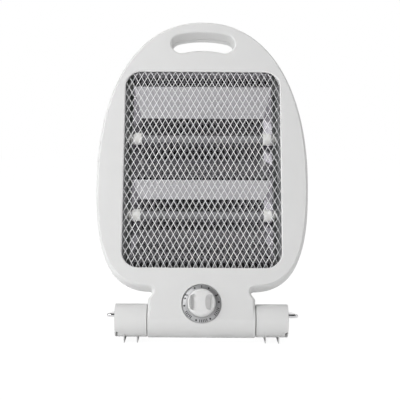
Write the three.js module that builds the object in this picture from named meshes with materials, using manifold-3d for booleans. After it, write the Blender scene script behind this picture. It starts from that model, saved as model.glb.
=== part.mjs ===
// Halogen heater: two quartz tubes in a folded reflector behind a diamond-mesh guard, in a
// two-shell egg-shaped housing with a carry slot, standing on a fold-up stand of two ribbed
// feet and a bent wire loop.
//
// Units are millimetres and degrees. The heater faces -Y with +X to its right and +Z up, and
// the origin is the bottom centre of its bounding box. The housing is drawn upright about the
// hinge axis (x across, y front to back, z up) and then leant back.
import * as THREE from "three";
import { mergeVertices } from "three/addons/utils/BufferGeometryUtils.js";
import Module from "manifold-3d";

const wasm = await Module();
wasm.setup();

// ---------------------------------------------------------------- driving dimensions

// Common
const GAP = 0.3; // between pieces that touch
const WALL = 2.2; // moulded walls
const SHEET = 0.8; // bent sheet metal
const CUT = 1; // how far a cutting tool runs past what it cuts

// Stance
const LEAN = 20.5; // the housing leans back by this much
const HINGE_HEIGHT = 25; // hinge axis above the floor

// Housing outline, heights measured from the hinge axis
const HALF_WIDTH = 125;
const WIDEST_Z = 170.5;
const TOP_Z = 365.5;
const CROWN_REACH = 0.624 * HALF_WIDTH; // pull of the outline along the crown
const SHOULDER_REACH = 0.5667 * (TOP_Z - WIDEST_Z); // pull of the outline above its widest point
const CHIN_REACH = 60; // pull of the outline along its underside
const CHIN_RISE = 2.4; // rise of that pull
const UNDERSIDE_Z = 34.5;
const FLANK_REACH = 0.5037 * (WIDEST_Z - UNDERSIDE_Z); // pull of the outline below it
const NECK_HALF = 61.8;
const NECK_TAPER = 1.6;
const NECK_WAIST = NECK_HALF - NECK_TAPER; // half width where the neck meets the underside
const NECK_STRAIGHT_Z = 14;
const NECK_FILLET = 6;
const NECK_RADIUS = 19.8; // round foot of the neck, about the hinge axis
const NECK_STEP = 0.5; // the round foot ends this far inside the neck's sides

// Housing depth
const HOUSING_DEPTH = 34;
const FRONT_SHELL_DEPTH = 22.5;
const FRONT_EDGE = 4.5;
const REAR_EDGE = 8;
const FRONT = -NECK_RADIUS;
const REAR = FRONT + HOUSING_DEPTH;
const SEAM = FRONT + FRONT_SHELL_DEPTH;

// Carry slot
const SLOT_HALF = 38.8;
const SLOT_HEIGHT = 25;
const CROWN_BAND = 13.5; // housing above the slot
const SLOT_TOP_Z = TOP_Z - CROWN_BAND;
const SLOT_ARCH = 3; // rise of the slot's middle over its ends
const SLOT_RIM = 3;

// Window and guard
const SIDE_BORDER = 32.4; // housing beside the window
const TOP_BORDER = 27.2; // housing between window and slot
const LOW_BORDER = 23.7; // housing below the window
const WINDOW_HALF = HALF_WIDTH - SIDE_BORDER;
const WINDOW_LOW_Z = UNDERSIDE_Z + LOW_BORDER;
const WINDOW_HIGH_Z = SLOT_TOP_Z - SLOT_HEIGHT - TOP_BORDER;
const CORNER_START = 0.6128 * HALF_WIDTH; // half width at which the window's corners begin
const WINDOW_CORNER = WINDOW_HALF - CORNER_START;
const WINDOW_CHAMFER = 1.2;
const GUARD_RIM = 4;
const GUARD_DEPTH = 3.2;
const STRAND = 1.1;
const LAYER_PITCH = 1.5; // distance between the two layers of strands
const MESH_PITCH_X = 7.4;
const MESH_PITCH_Z = 13.5;
const FLANGE = 2; // wall that stands behind the window, round the guard
const FLANGE_DEPTH = 8.6;

// Reflector: the bends of its two troughs, as shares of the window's height from its lower edge
const UPPER_TROUGH = { high: 0.935, backHigh: 0.79, backLow: 0.5745 };
const RIDGE = { high: 0.462, low: 0.45 };
const LOWER_TROUGH = { backHigh: 0.3675, backLow: 0.21, step: 0.144, low: 0.0405 };
const TROUGH_DEPTH = 16.7;
const RIDGE_DEPTH = 2;
const STEP_DEPTH = 10.7;
const TAB_REACH = 16.2; // from the window's edge to the end of a screwed tab
const TAB_HALF = 52; // half width of the screwed tabs
const SIDE_MARGIN = 8.6; // from the reflector's front edge to the window's
const REFLECTOR_HALF = WINDOW_HALF - SIDE_MARGIN;
const END_TAPER = 0.6; // run of the slanted ends over their depth

// Heating tubes: heights as shares of the window's height, lengths from the reflector's edge
const UPPER_TUBE = 0.672;
const LOWER_TUBE = 0.2785;
const TUBE_Y = 0;
const TUBE_RADIUS = 4.6;
const TUBE_WALL = 0.9;
const TUBE_INSET = 2;
const TUBE_HALF = REFLECTOR_HALF - TUBE_INSET;
const CAP_RADIUS = 6;
const CAP_NECK = 4; // radius of a cap behind its collar
const CAP_FLOOR = 3; // ceramic left behind the tube's end
const CAP_SHOWN = 9.5; // inside the reflector
const CAP_HIDDEN = 12; // beyond the reflector
const CAP_IN = REFLECTOR_HALF - CAP_SHOWN;
const CAP_OUT = REFLECTOR_HALF + CAP_HIDDEN;
const BRACKET_OFFSET = 4.6;
const BRACKET_X = REFLECTOR_HALF + BRACKET_OFFSET;
const COLD_END = 12; // from a tube's end to its coil
const COIL_HALF = TUBE_HALF - COLD_END;
const COIL_RADIUS = 2.3;
const COIL_WIRE = 0.45;
const COIL_CURLS = 16;
const CURL_STEPS = 8;
const LEAD_RADIUS = 1.1;
const LEAD_RUN = 4.5; // from a cap's end to the lead beside it
const LEAD_BEND = 3;
const LEAD_LANE = 3.2; // distance between the two feed leads

// Dial, knob and switch
const DIAL_Z = 16;
const DIAL_RADIUS = 22.5;
const DIAL_RECESS = 1.4;
const DIAL_FLANGE = 1.2;
const DIAL_FLANGE_THICK = 1.5;
const DIAL_BORE = 5;
const KNOB_RADIUS = 16;
const KNOB_HEIGHT = 11;
const KNOB_EDGE = 2.4; // rounding of the rim
const KNOB_FACE = 4.4; // thickness over the shaft
const SCOOP = { x: 13.6, halfX: 6.2, halfY: 7, halfZ: 9.4 };
const SHAFT_RADIUS = 3;
const SWITCH_SIZE = { x: 29, y: 15, z: 27 };
const BLADE = { halfX: 3, halfZ: 0.4, length: 6, x: 9.7, z: 6.75 };
const SIDE_ROOM = 19; // from the neck's side to the pieces beside its screws
const TERMINAL = { width: 12.6, depth: 9, low: 12, high: 24 };
const TERMINAL_WELL = 1.6;

// Tilt switch
const TILT_WIDTH = 12.6;
const TILT_X = NECK_HALF - SIDE_ROOM - TILT_WIDTH / 2;
const TILT_WALL = 1.6;
const TILT_DEPTH = 24;
const TILT_LOW_Z = 6;
const TILT_HIGH_Z = 34;
const TILT_PIN = { y: -8, z: 29, radius: 1.2 };
const TILT_ARM = 12;
const TILT_WEIGHT_RADIUS = 4;

// Stand: feet and wire loop
const FOOT_GAP = 0.7; // running gap between the neck and a foot
const FOOT_SETBACK = 25.5; // from the housing's widest point to a foot's outer end
const FOOT_LENGTH = HALF_WIDTH - FOOT_SETBACK - NECK_HALF - FOOT_GAP;
const FOOT_RADIUS = 19;
const FOOT_BEVEL = 0.8;
const TONGUE_END_Y = 50;
const TONGUE_TIP = 3;
const RIB_FRONT_Y = -14;
const RIB_THICK = 2.4;
const RIB_SHARES = [0.3, 0.71]; // places of the ribs along a foot
const RIB_ROOT = 1; // how far a rib reaches into the tongue
const SPIGOT_RADIUS = 10;
const SPIGOT_REACH = 8.5;
const WASHER = { margin: 2, thick: 1.2 };
const WIRE_RADIUS = 2.25;
const WIRE_OUT = 8.4; // from the foot's outer end to the arm's centre line
const WIRE_SEAT = 11; // length held inside the foot
const WIRE_START = { y: 7, z: 4.2 };
const LOOP_LENGTH = 150;
const WIRE_BEND = 6;
const LOOP_BEND = 16;

// Fasteners
const SCREW_RADIUS = 1.6;
const SCREW_HEAD = { radius: 3.4, crown: 2.7, height: 1.9 };
const BOSS_RADIUS = 4;
const REFLECTOR_SCREW_X = 40;
const SCREW_BITE = 7; // thread held in a boss

// Vents and inlet in the back
const VENT = { half: 33, height: 4, pitchX: 76, pitchZ: 10, columns: 2, rows: 4 };
const VENT_TOPS = [0.91, 0.2145]; // top rows, as shares of the window's height
const GLAND = { x: -28, z: 28, radius: 6.2, flange: 8.5, bore: 3.6, proud: 5 };

// Facets
const ROUND = 16; // sides of a common round
const FINE_ROUND = 30; // sides of a large round
const FOOT_STEPS = 24;
const SMALL_ROUND = 8; // sides of a screw, a boss or a pin
const CURVE_STEPS = 12;
const EDGE_STEPS = 3;

// Height at a share of the window's height
const atShare = (share) => WINDOW_LOW_Z + share * (WINDOW_HIGH_Z - WINDOW_LOW_Z);

// Case screws of the right half: beside the slot, down the flank, in the neck
const SLOT_SCREW = { beside: 21.2, aboveWindow: 19.2 };
const FLANK_SCREW = { high: 0.71, low: 0.297 }; // shares of the window's height
const NECK_SCREW = { inset: 12.8, below: 8.5 };
const FLANK_SCREW_X = WINDOW_HALF + 0.43 * SIDE_BORDER;
const CASE_SCREWS = [
  [SLOT_HALF + SLOT_SCREW.beside, WINDOW_HIGH_Z + SLOT_SCREW.aboveWindow],
  [FLANK_SCREW_X, atShare(FLANK_SCREW.high)],
  [FLANK_SCREW_X, atShare(FLANK_SCREW.low)],
  [NECK_HALF - NECK_SCREW.inset, UNDERSIDE_Z - NECK_SCREW.below],
];

// ---------------------------------------------------------------- materials

const finish = (color, roughness, metalness) =>
  new THREE.MeshStandardMaterial({ color, roughness, metalness });
const WHITE_PLASTIC = finish(0xe4e4e2, 0.45, 0);
const GREY_PLASTIC = finish(0xb9babb, 0.5, 0);
const BLACK_PLASTIC = finish(0x1b1b1c, 0.5, 0);
const MIRROR_SHEET = finish(0xd7d9db, 0.12, 1);
const STEEL = finish(0xa9abad, 0.35, 1);
const CHROME = finish(0xe8e8ea, 0.08, 1);
const CERAMIC = finish(0xf0eee8, 0.7, 0);
const QUARTZ = finish(0xdfe2e2, 0.15, 0);
const HEATING_WIRE = finish(0x6c6a66, 0.5, 1);
const SLEEVE = finish(0xf2f2ee, 0.6, 0);

// ---------------------------------------------------------------- solids

// A closed three.js geometry as a solid for booleans.
function solidOf(geometry) {
  const bare = new THREE.BufferGeometry();
  bare.setAttribute("position", geometry.getAttribute("position"));
  bare.setIndex(geometry.index);
  const merged = mergeVertices(bare, 1e-4);
  const corners = merged.index.array;
  const faces = [];
  for (let i = 0; i < corners.length; i += 3) {
    const [a, b, c] = corners.slice(i, i + 3);
    if (a !== b && b !== c && c !== a) faces.push(a, b, c);
  }
  const vertProperties = merged.attributes.position.array;
  const made = new wasm.Manifold(
    new wasm.Mesh({ numProp: 3, vertProperties, triVerts: new Uint32Array(faces) }),
  );
  if (made.volume() > 0) return made;
  for (let i = 0; i < faces.length; i += 3) [faces[i], faces[i + 1]] = [faces[i + 1], faces[i]];
  return new wasm.Manifold(
    new wasm.Mesh({ numProp: 3, vertProperties, triVerts: new Uint32Array(faces) }),
  );
}

function geometryOf(solid) {
  const { numProp, vertProperties, triVerts } = solid.getMesh();
  const position = new Float32Array((vertProperties.length / numProp) * 3);
  for (let i = 0; i < position.length / 3; i++) {
    position.set(vertProperties.subarray(i * numProp, i * numProp + 3), i * 3);
  }
  const geometry = new THREE.BufferGeometry();
  geometry.setAttribute("position", new THREE.BufferAttribute(position, 3));
  geometry.setIndex(new THREE.BufferAttribute(triVerts, 1));
  geometry.computeVertexNormals();
  return geometry;
}

const join = (solids) => wasm.Manifold.union(solids);
const cut = (solid, ...tools) => solid.subtract(join(tools));

function piece(name, solid, material) {
  const mesh = new THREE.Mesh(geometryOf(solid), material);
  mesh.name = name;
  return mesh;
}

function block(x0, x1, y0, y1, z0, z1) {
  const box = new THREE.BoxGeometry(x1 - x0, y1 - y0, z1 - z0);
  return solidOf(box.translate((x0 + x1) / 2, (y0 + y1) / 2, (z0 + z1) / 2));
}

const X = new THREE.Vector3(1, 0, 0);
const Y = new THREE.Vector3(0, 1, 0);
const Z = new THREE.Vector3(0, 0, 1);
const SIDE_ON = new THREE.Matrix4().makeBasis(Y, Z, X); // an outline of (y, z), run along x
const FACE_ON = new THREE.Matrix4().makeBasis(X, Z, Y.clone().negate()); // (x, z), run along y

function plate(points, depth, bevel = 0) {
  const shape = new THREE.Shape(points);
  return new THREE.ExtrudeGeometry(shape, {
    depth: depth - 2 * bevel,
    bevelEnabled: bevel > 0,
    bevelThickness: bevel,
    bevelSize: bevel,
    bevelOffset: -bevel,
    bevelSegments: 1,
  }).translate(0, 0, bevel);
}

const runX = (points, x0, x1, bevel) =>
  solidOf(plate(points, x1 - x0, bevel).applyMatrix4(SIDE_ON).translate(x0, 0, 0));
const runY = (points, y0, y1) =>
  solidOf(plate(points, y1 - y0).applyMatrix4(FACE_ON).translate(0, y1, 0));
const runZ = (points, z0, z1) => solidOf(plate(points, z1 - z0).translate(0, 0, z0));

// Turned pieces: profiles of (radius, distance along the axis).
const lathe = (profile, sides) =>
  new THREE.LatheGeometry(
    profile.map(([r, along]) => new THREE.Vector2(r, along)),
    sides,
  );
const turnY = (profile, x, z, sides = ROUND) => solidOf(lathe(profile, sides).translate(x, 0, z));
const turnX = (profile, y, z, sides = ROUND) =>
  solidOf(lathe(profile, sides).rotateZ(-Math.PI / 2).translate(0, y, z));

const rod = (radius, from, to) => [
  [0, from],
  [radius, from],
  [radius, to],
  [0, to],
];
const tube = (outer, inner, from, to) => [
  [inner, from],
  [outer, from],
  [outer, to],
  [inner, to],
  [inner, from],
];

// Moves each point of an outline to its left by a distance, with mitred corners.
function offset(points, distance, closed = true) {
  const last = points.length - 1;
  return points.map((point, i) => {
    const before = closed || i > 0 ? points.at(i - 1) : point;
    const after = closed || i < last ? points[(i + 1) % points.length] : point;
    const into = point.clone().sub(before).normalize();
    const out = after.clone().sub(point).normalize();
    const sides = [into, out]
      .filter((way) => way.length() > 0)
      .map((way) => new THREE.Vector2(-way.y, way.x));
    const mitre = sides.reduce((sum, side) => sum.clone().add(side)).normalize();
    return point.clone().addScaledVector(mitre, distance / mitre.dot(sides[0]));
  });
}

// A solid lofted through rings of (x, z) points, each at its own depth y.
function stack(rings) {
  const count = rings[0].points.length;
  const position = rings.flatMap(({ points, y }) => points.flatMap((p) => [p.x, y, p.y]));
  const faces = [];
  for (let ring = 0; ring + 1 < rings.length; ring++) {
    for (let i = 0; i < count; i++) {
      const a = ring * count + i;
      const b = ring * count + ((i + 1) % count);
      faces.push(a, b, b + count, a, b + count, a + count);
    }
  }
  const cap = THREE.ShapeUtils.triangulateShape(rings[0].points, []);
  const top = (rings.length - 1) * count;
  for (const [a, b, c] of cap) faces.push(a, c, b, top + a, top + b, top + c);
  const geometry = new THREE.BufferGeometry();
  geometry.setAttribute("position", new THREE.Float32BufferAttribute(position, 3));
  geometry.setIndex(faces);
  return solidOf(geometry);
}

// A round bar swept through a list of points, with closed ends.
function sweep(points, radius, sides, turn = 0) {
  const position = [];
  const faces = [];
  let across = null;
  points.forEach((point, i) => {
    const before = points[Math.max(i - 1, 0)];
    const after = points[Math.min(i + 1, points.length - 1)];
    const along = after.clone().sub(before).normalize();
    if (!across) {
      across = Math.abs(along.z) < 0.9 ? Z.clone().cross(along) : X.clone().cross(along);
      across.normalize().applyAxisAngle(along, turn);
    }
    across.addScaledVector(along, -across.dot(along)).normalize();
    const up = along.clone().cross(across);
    for (let side = 0; side < sides; side++) {
      const angle = (2 * Math.PI * side) / sides;
      const spot = point.clone();
      spot.addScaledVector(across, radius * Math.cos(angle));
      spot.addScaledVector(up, radius * Math.sin(angle));
      position.push(spot.x, spot.y, spot.z);
    }
  });
  for (let i = 0; i + 1 < points.length; i++) {
    for (let side = 0; side < sides; side++) {
      const a = i * sides + side;
      const b = i * sides + ((side + 1) % sides);
      faces.push(a, b, b + sides, a, b + sides, a + sides);
    }
  }
  const end = (points.length - 1) * sides;
  for (let side = 1; side + 1 < sides; side++) {
    faces.push(0, side + 1, side, end, end + side, end + side + 1);
  }
  const geometry = new THREE.BufferGeometry();
  geometry.setAttribute("position", new THREE.Float32BufferAttribute(position, 3));
  geometry.setIndex(faces);
  return solidOf(geometry);
}

// A path through corner points, each corner rounded by a curve of its given reach.
function roundedPath(corners, reaches, steps) {
  const path = [corners[0]];
  for (let i = 1; i + 1 < corners.length; i++) {
    const towards = (to) => {
      const way = to.clone().sub(corners[i]);
      return corners[i].clone().addScaledVector(way.normalize(), reaches[i] ?? reaches);
    };
    const bend = new THREE.QuadraticBezierCurve3(
      towards(corners[i - 1]),
      corners[i],
      towards(corners[i + 1]),
    );
    path.push(...bend.getPoints(steps));
  }
  path.push(corners.at(-1));
  return path;
}

const point = (x, z) => new THREE.Vector2(x, z);

function roundedRectangle(half, low, high, corner, steps) {
  const shape = new THREE.Shape();
  shape.absarc(half - corner, low + corner, corner, -Math.PI / 2, 0);
  shape.absarc(half - corner, high - corner, corner, 0, Math.PI / 2);
  shape.absarc(corner - half, high - corner, corner, Math.PI / 2, Math.PI);
  shape.absarc(corner - half, low + corner, corner, Math.PI, 1.5 * Math.PI);
  const points = shape.getPoints(steps);
  if (points[0].distanceTo(points.at(-1)) < GAP) points.pop();
  return points;
}

// ---------------------------------------------------------------- housing

// Outline of neck and egg, anticlockwise from the neck's right foot, moved in by a distance.
function housingOutline(inset) {
  const flankEnd = point(NECK_WAIST + NECK_FILLET, UNDERSIDE_Z);
  const fillet = new THREE.QuadraticBezierCurve(
    point(NECK_WAIST, UNDERSIDE_Z - NECK_FILLET),
    point(NECK_WAIST, UNDERSIDE_Z),
    flankEnd,
  );
  const flank = new THREE.CubicBezierCurve(
    flankEnd,
    point(NECK_WAIST + CHIN_REACH, UNDERSIDE_Z + CHIN_RISE),
    point(HALF_WIDTH, WIDEST_Z - FLANK_REACH),
    point(HALF_WIDTH, WIDEST_Z),
  );
  const crown = new THREE.CubicBezierCurve(
    point(HALF_WIDTH, WIDEST_Z),
    point(HALF_WIDTH, WIDEST_Z + SHOULDER_REACH),
    point(CROWN_REACH, TOP_Z),
    point(0, TOP_Z),
  );
  const right = [
    point(NECK_HALF, -NECK_FILLET),
    point(NECK_HALF, NECK_STRAIGHT_Z),
    ...fillet.getPoints(EDGE_STEPS),
    ...flank.getPoints(CURVE_STEPS).slice(1),
    ...crown.getPoints(CURVE_STEPS).slice(1),
  ];
  const left = right.slice(0, -1).map((p) => point(-p.x, p.y));
  return offset([...right, ...left.reverse()], inset);
}

// The housing's outer form, or its hollow when moved in by a wall.
function housingForm(inset) {
  const rounded = (y, radius, towards) =>
    Array.from({ length: EDGE_STEPS + 1 }, (_, i) => {
      const angle = (Math.PI / 2) * (i / EDGE_STEPS);
      return {
        points: housingOutline(inset + radius * (1 - Math.sin(angle))),
        y: y + towards * radius * (1 - Math.cos(angle)),
      };
    });
  const front = rounded(FRONT + inset, FRONT_EDGE - inset / 2, 1);
  const rear = rounded(REAR - inset, REAR_EDGE - inset / 2, -1);
  const half = NECK_HALF - NECK_STEP - inset;
  const foot = turnX(rod(NECK_RADIUS - inset, -half, half), 0, 0, FINE_ROUND);
  return stack([...front, ...rear.reverse()]).add(foot);
}

// Outline of the arched carry slot, moved out by a distance.
function slotOutline(outset) {
  const reach = SLOT_HALF - SLOT_HEIGHT / 2;
  const bend = (reach * reach) / (2 * SLOT_ARCH);
  const middle = SLOT_TOP_Z - SLOT_HEIGHT / 2;
  const spread = Math.asin(reach / bend);
  const radius = SLOT_HEIGHT / 2 + outset;
  const at = (angle, r) => point(r * Math.sin(angle), middle - bend + r * Math.cos(angle));
  const points = [];
  const steps = 5;
  for (let i = 0; i <= steps; i++) points.push(at(spread * (1 - (2 * i) / steps), bend + radius));
  for (let i = 1; i < steps; i++) {
    const turned = Math.PI / 2 + spread + (Math.PI * i) / steps;
    const end = at(-spread, bend);
    points.push(point(end.x + radius * Math.cos(turned), end.y + radius * Math.sin(turned)));
  }
  for (let i = 0; i <= steps; i++) points.push(at(spread * ((2 * i) / steps - 1), bend - radius));
  for (let i = 1; i < steps; i++) {
    const turned = -Math.PI / 2 - spread + (Math.PI * i) / steps;
    const end = at(spread, bend);
    points.push(point(end.x + radius * Math.cos(turned), end.y + radius * Math.sin(turned)));
  }
  return points;
}

// The slot as a cutting tool whose mouths flare into rounded rims.
function slotTool() {
  const mouth = (y, into) =>
    Array.from({ length: EDGE_STEPS + 1 }, (_, i) => {
      const depth = (SLOT_RIM * i) / EDGE_STEPS;
      const flare = SLOT_RIM - Math.sqrt(SLOT_RIM ** 2 - (SLOT_RIM - depth) ** 2);
      return { points: slotOutline(flare), y: y + into * depth };
    });
  const front = mouth(FRONT, 1);
  const rear = mouth(REAR, -1).reverse();
  return stack([
    { points: front[0].points, y: FRONT - CUT },
    ...front,
    ...rear,
    { points: rear.at(-1).points, y: REAR + CUT },
  ]);
}

const windowOutline = (outset) =>
  roundedRectangle(
    WINDOW_HALF + outset,
    WINDOW_LOW_Z - outset,
    WINDOW_HIGH_Z + outset,
    WINDOW_CORNER + outset,
    5,
  );

const INNER_FRONT = FRONT + WALL;
const INNER_REAR = REAR - WALL;
const GUARD_SEAT = GUARD_RIM + GAP; // from the window's edge to the flange behind it
const FLANGE_END = INNER_FRONT + FLANGE_DEPTH;
const FRONT_SEAM = SEAM - GAP / 2;
const REAR_SEAM = SEAM + GAP / 2;
const CASE_SCREW_SPOTS = CASE_SCREWS.flatMap(([x, z]) => [
  [x, z],
  [-x, z],
]);
const TAB_SCREW_RISE = GUARD_SEAT + FLANGE / 2 + BOSS_RADIUS; // the bosses grow out of the flange
const REFLECTOR_SCREW_SPOTS = [
  [REFLECTOR_SCREW_X, WINDOW_HIGH_Z + TAB_SCREW_RISE],
  [-REFLECTOR_SCREW_X, WINDOW_HIGH_Z + TAB_SCREW_RISE],
  [REFLECTOR_SCREW_X, WINDOW_LOW_Z - TAB_SCREW_RISE],
  [-REFLECTOR_SCREW_X, WINDOW_LOW_Z - TAB_SCREW_RISE],
];

const slab = (y0, y1) =>
  block(-HALF_WIDTH - CUT, HALF_WIDTH + CUT, y0, y1, -NECK_RADIUS - CUT, TOP_Z + CUT);
const hinge = turnX(
  rod(SPIGOT_RADIUS + GAP, -NECK_HALF - CUT, NECK_HALF + CUT),
  0,
  0,
  FINE_ROUND,
);
const screwHole = ([x, z], from, to) => turnY(rod(SCREW_RADIUS + GAP, from, to), x, z, SMALL_ROUND);

const skin = housingForm(0).subtract(housingForm(WALL));
const slotWall = stack([
  { points: slotOutline(WALL), y: INNER_FRONT - GAP },
  { points: slotOutline(WALL), y: INNER_REAR + GAP },
]);

function frontShell() {
  const flange = stack([
    { points: windowOutline(GUARD_SEAT + FLANGE), y: INNER_FRONT - GAP },
    { points: windowOutline(GUARD_SEAT + FLANGE), y: FLANGE_END },
  ]).subtract(
    stack([
      { points: windowOutline(GUARD_SEAT), y: FRONT },
      { points: windowOutline(GUARD_SEAT), y: FLANGE_END + CUT },
    ]),
  );
  const caseBosses = CASE_SCREW_SPOTS.map(([x, z]) =>
    turnY(rod(BOSS_RADIUS, INNER_FRONT - GAP, REAR_SEAM), x, z, SMALL_ROUND),
  );
  const reflectorBosses = REFLECTOR_SCREW_SPOTS.map(([x, z]) =>
    turnY(rod(BOSS_RADIUS, INNER_FRONT - GAP, FLANGE_END), x, z, SMALL_ROUND),
  );
  const window = stack([
    { points: windowOutline(WINDOW_CHAMFER + CUT), y: FRONT - CUT },
    { points: windowOutline(0), y: FRONT + WINDOW_CHAMFER },
    { points: windowOutline(0), y: INNER_FRONT + CUT },
  ]);
  const dialSeat = turnY(
    [
      [0, FRONT - CUT],
      [DIAL_RADIUS + GAP, FRONT - CUT],
      [DIAL_RADIUS + GAP, INNER_FRONT],
      [DIAL_RADIUS + DIAL_FLANGE + GAP, INNER_FRONT],
      [DIAL_RADIUS + DIAL_FLANGE + GAP, INNER_FRONT + DIAL_FLANGE_THICK + 2 * GAP],
      [0, INNER_FRONT + DIAL_FLANGE_THICK + 2 * GAP],
    ],
    0,
    DIAL_Z,
    FINE_ROUND,
  );
  return cut(
    join([skin, slotWall, flange, ...caseBosses, ...reflectorBosses]),
    ...CASE_SCREW_SPOTS.map((spot) => screwHole(spot, FRONT_SEAM - SCREW_BITE - GAP, REAR)),
    ...REFLECTOR_SCREW_SPOTS.map((spot) => screwHole(spot, FLANGE_END - SCREW_BITE - GAP, REAR)),
    window,
    dialSeat,
    slotTool(),
    hinge,
    slab(FRONT_SEAM, NECK_RADIUS + CUT),
  );
}

function ventTools() {
  const half = VENT.half - VENT.height / 2;
  const slot = new THREE.Shape();
  slot.absarc(half, 0, VENT.height / 2, -Math.PI / 2, Math.PI / 2);
  slot.absarc(-half, 0, VENT.height / 2, Math.PI / 2, 1.5 * Math.PI);
  const outline = slot.getPoints(3);
  const tools = [];
  for (const top of VENT_TOPS.map(atShare)) {
    for (let row = 0; row < VENT.rows; row++) {
      for (let column = 0; column < VENT.columns; column++) {
        const x = (column - (VENT.columns - 1) / 2) * VENT.pitchX;
        const z = top - row * VENT.pitchZ;
        const moved = outline.map((p) => point(p.x + x, p.y + z));
        tools.push(runY(moved, INNER_REAR - CUT, REAR + CUT));
      }
    }
  }
  return tools;
}

function rearShell() {
  const bosses = CASE_SCREW_SPOTS.map(([x, z]) =>
    turnY(rod(BOSS_RADIUS + SCREW_HEAD.height, FRONT_SEAM, INNER_REAR + GAP), x, z, SMALL_ROUND),
  );
  const headSeats = CASE_SCREW_SPOTS.map(([x, z]) =>
    turnY(rod(SCREW_HEAD.radius + GAP, REAR - SCREW_HEAD.height - GAP, REAR + CUT), x, z),
  );
  return cut(
    join([skin, slotWall, ...bosses]),
    ...CASE_SCREW_SPOTS.map((spot) => screwHole(spot, FRONT, REAR + CUT)),
    ...headSeats,
    ...ventTools(),
    turnY(rod(GLAND.radius + GAP, INNER_REAR - CUT, REAR + CUT), GLAND.x, GLAND.z),
    slotTool(),
    hinge,
    slab(FRONT - CUT, REAR_SEAM),
  );
}

// ---------------------------------------------------------------- guard

// Two layers of slanting strands that cross into diamonds, their ends held in one rim.
function guardMesh() {
  const front = INNER_FRONT + GAP;
  const middle = (WINDOW_LOW_Z + WINDOW_HIGH_Z) / 2;
  const slant = Math.atan(MESH_PITCH_X / MESH_PITCH_Z);
  const halfHeight = (WINDOW_HIGH_Z - WINDOW_LOW_Z) / 2;
  const halfLength = halfHeight / Math.cos(slant) + MESH_PITCH_Z;
  const perSide = Math.ceil((WINDOW_HALF + halfHeight * Math.tan(slant)) / MESH_PITCH_X);
  const strands = [];
  for (const side of [-1, 1]) {
    const depth = front + GUARD_DEPTH / 2 + (side * LAYER_PITCH) / 2;
    for (let i = -perSide; i <= perSide; i++) {
      const strand = new THREE.BoxGeometry(STRAND, STRAND, 2 * halfLength);
      strand.rotateY(side * slant).translate((i + 0.5) * MESH_PITCH_X, depth, middle);
      strands.push(solidOf(strand));
    }
  }
  const rim = stack([
    { points: windowOutline(GUARD_RIM), y: front },
    { points: windowOutline(GUARD_RIM), y: front + GUARD_DEPTH },
  ]);
  const opening = stack([
    { points: windowOutline(GAP), y: front - CUT },
    { points: windowOutline(GAP), y: front + GUARD_DEPTH + CUT },
  ]);
  const reach = stack([
    { points: windowOutline(GUARD_RIM / 2), y: front },
    { points: windowOutline(GUARD_RIM / 2), y: front + GUARD_DEPTH },
  ]);
  const guard = rim.subtract(opening).add(join(strands).intersect(reach));
  return guard.intersect(housingForm(WALL + GAP));
}

// ---------------------------------------------------------------- reflector and tubes

const REFLECTOR_FRONT = FLANGE_END + GAP;
const REFLECTOR_BACK = REFLECTOR_FRONT + TROUGH_DEPTH - SHEET;
const atDepth = (depth, z) => new THREE.Vector2(REFLECTOR_FRONT + depth, z);

// Side profile of the two troughs, from the top flange down to the bottom one.
const TROUGHS = [
  atDepth(0, atShare(UPPER_TROUGH.high)),
  atDepth(TROUGH_DEPTH - SHEET, atShare(UPPER_TROUGH.backHigh)),
  atDepth(TROUGH_DEPTH - SHEET, atShare(UPPER_TROUGH.backLow)),
  atDepth(RIDGE_DEPTH, atShare(RIDGE.high)),
  atDepth(RIDGE_DEPTH, atShare(RIDGE.low)),
  atDepth(TROUGH_DEPTH - SHEET, atShare(LOWER_TROUGH.backHigh)),
  atDepth(TROUGH_DEPTH - SHEET, atShare(LOWER_TROUGH.backLow)),
  atDepth(STEP_DEPTH, atShare(LOWER_TROUGH.step)),
  atDepth(0, atShare(LOWER_TROUGH.low)),
];
const TUBES = { upper: atShare(UPPER_TUBE), lower: atShare(LOWER_TUBE) };

function reflector() {
  const top = WINDOW_HIGH_Z + TAB_REACH;
  const low = WINDOW_LOW_Z - TAB_REACH;
  const line = [atDepth(0, top), ...TROUGHS, atDepth(0, low)];
  const profile = [...line, ...offset(line, SHEET, false).reverse()];
  const sheet = runX(profile, -REFLECTOR_HALF, REFLECTOR_HALF);
  const halfAt = (depth) => REFLECTOR_HALF - END_TAPER * depth;
  const taper = [-CUT, TROUGH_DEPTH + CUT].map((depth) => ({
    points: strip(halfAt(depth)),
    y: REFLECTOR_FRONT + depth,
  }));
  const corners = [-1, 1].flatMap((side) => {
    const [x0, x1] = [side * TAB_HALF, side * HALF_WIDTH].sort((a, b) => a - b);
    return [
      block(x0, x1, FRONT, REAR, WINDOW_HIGH_Z + GUARD_SEAT, TOP_Z),
      block(x0, x1, FRONT, REAR, 0, WINDOW_LOW_Z - GUARD_SEAT),
    ];
  });
  return cut(
    sheet.intersect(stack(taper)),
    ...corners,
    ...REFLECTOR_SCREW_SPOTS.map((spot) => screwHole(spot, FRONT, REAR)),
  );
}

// An upright strip, from the hinge axis to the top.
const strip = (half) => [
  point(-half, 0),
  point(half, 0),
  point(half, TOP_Z),
  point(-half, TOP_Z),
];

function reflectorEnd(side) {
  const fill = offset(TROUGHS, -GAP);
  const sheet = plate(fill, SHEET).applyMatrix4(SIDE_ON);
  const slope = new THREE.Matrix4().makeShear(0, 0, -END_TAPER, 0, 0, 0);
  const inner = REFLECTOR_HALF + END_TAPER * REFLECTOR_FRONT - SHEET;
  sheet.applyMatrix4(slope).translate(inner, 0, 0).scale(side, 1, 1);
  return cut(solidOf(sheet), ...capHoles());
}

const capHoles = () =>
  Object.values(TUBES).map((z) =>
    turnX(rod(CAP_RADIUS + GAP, -HALF_WIDTH, HALF_WIDTH), TUBE_Y, z),
  );

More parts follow.
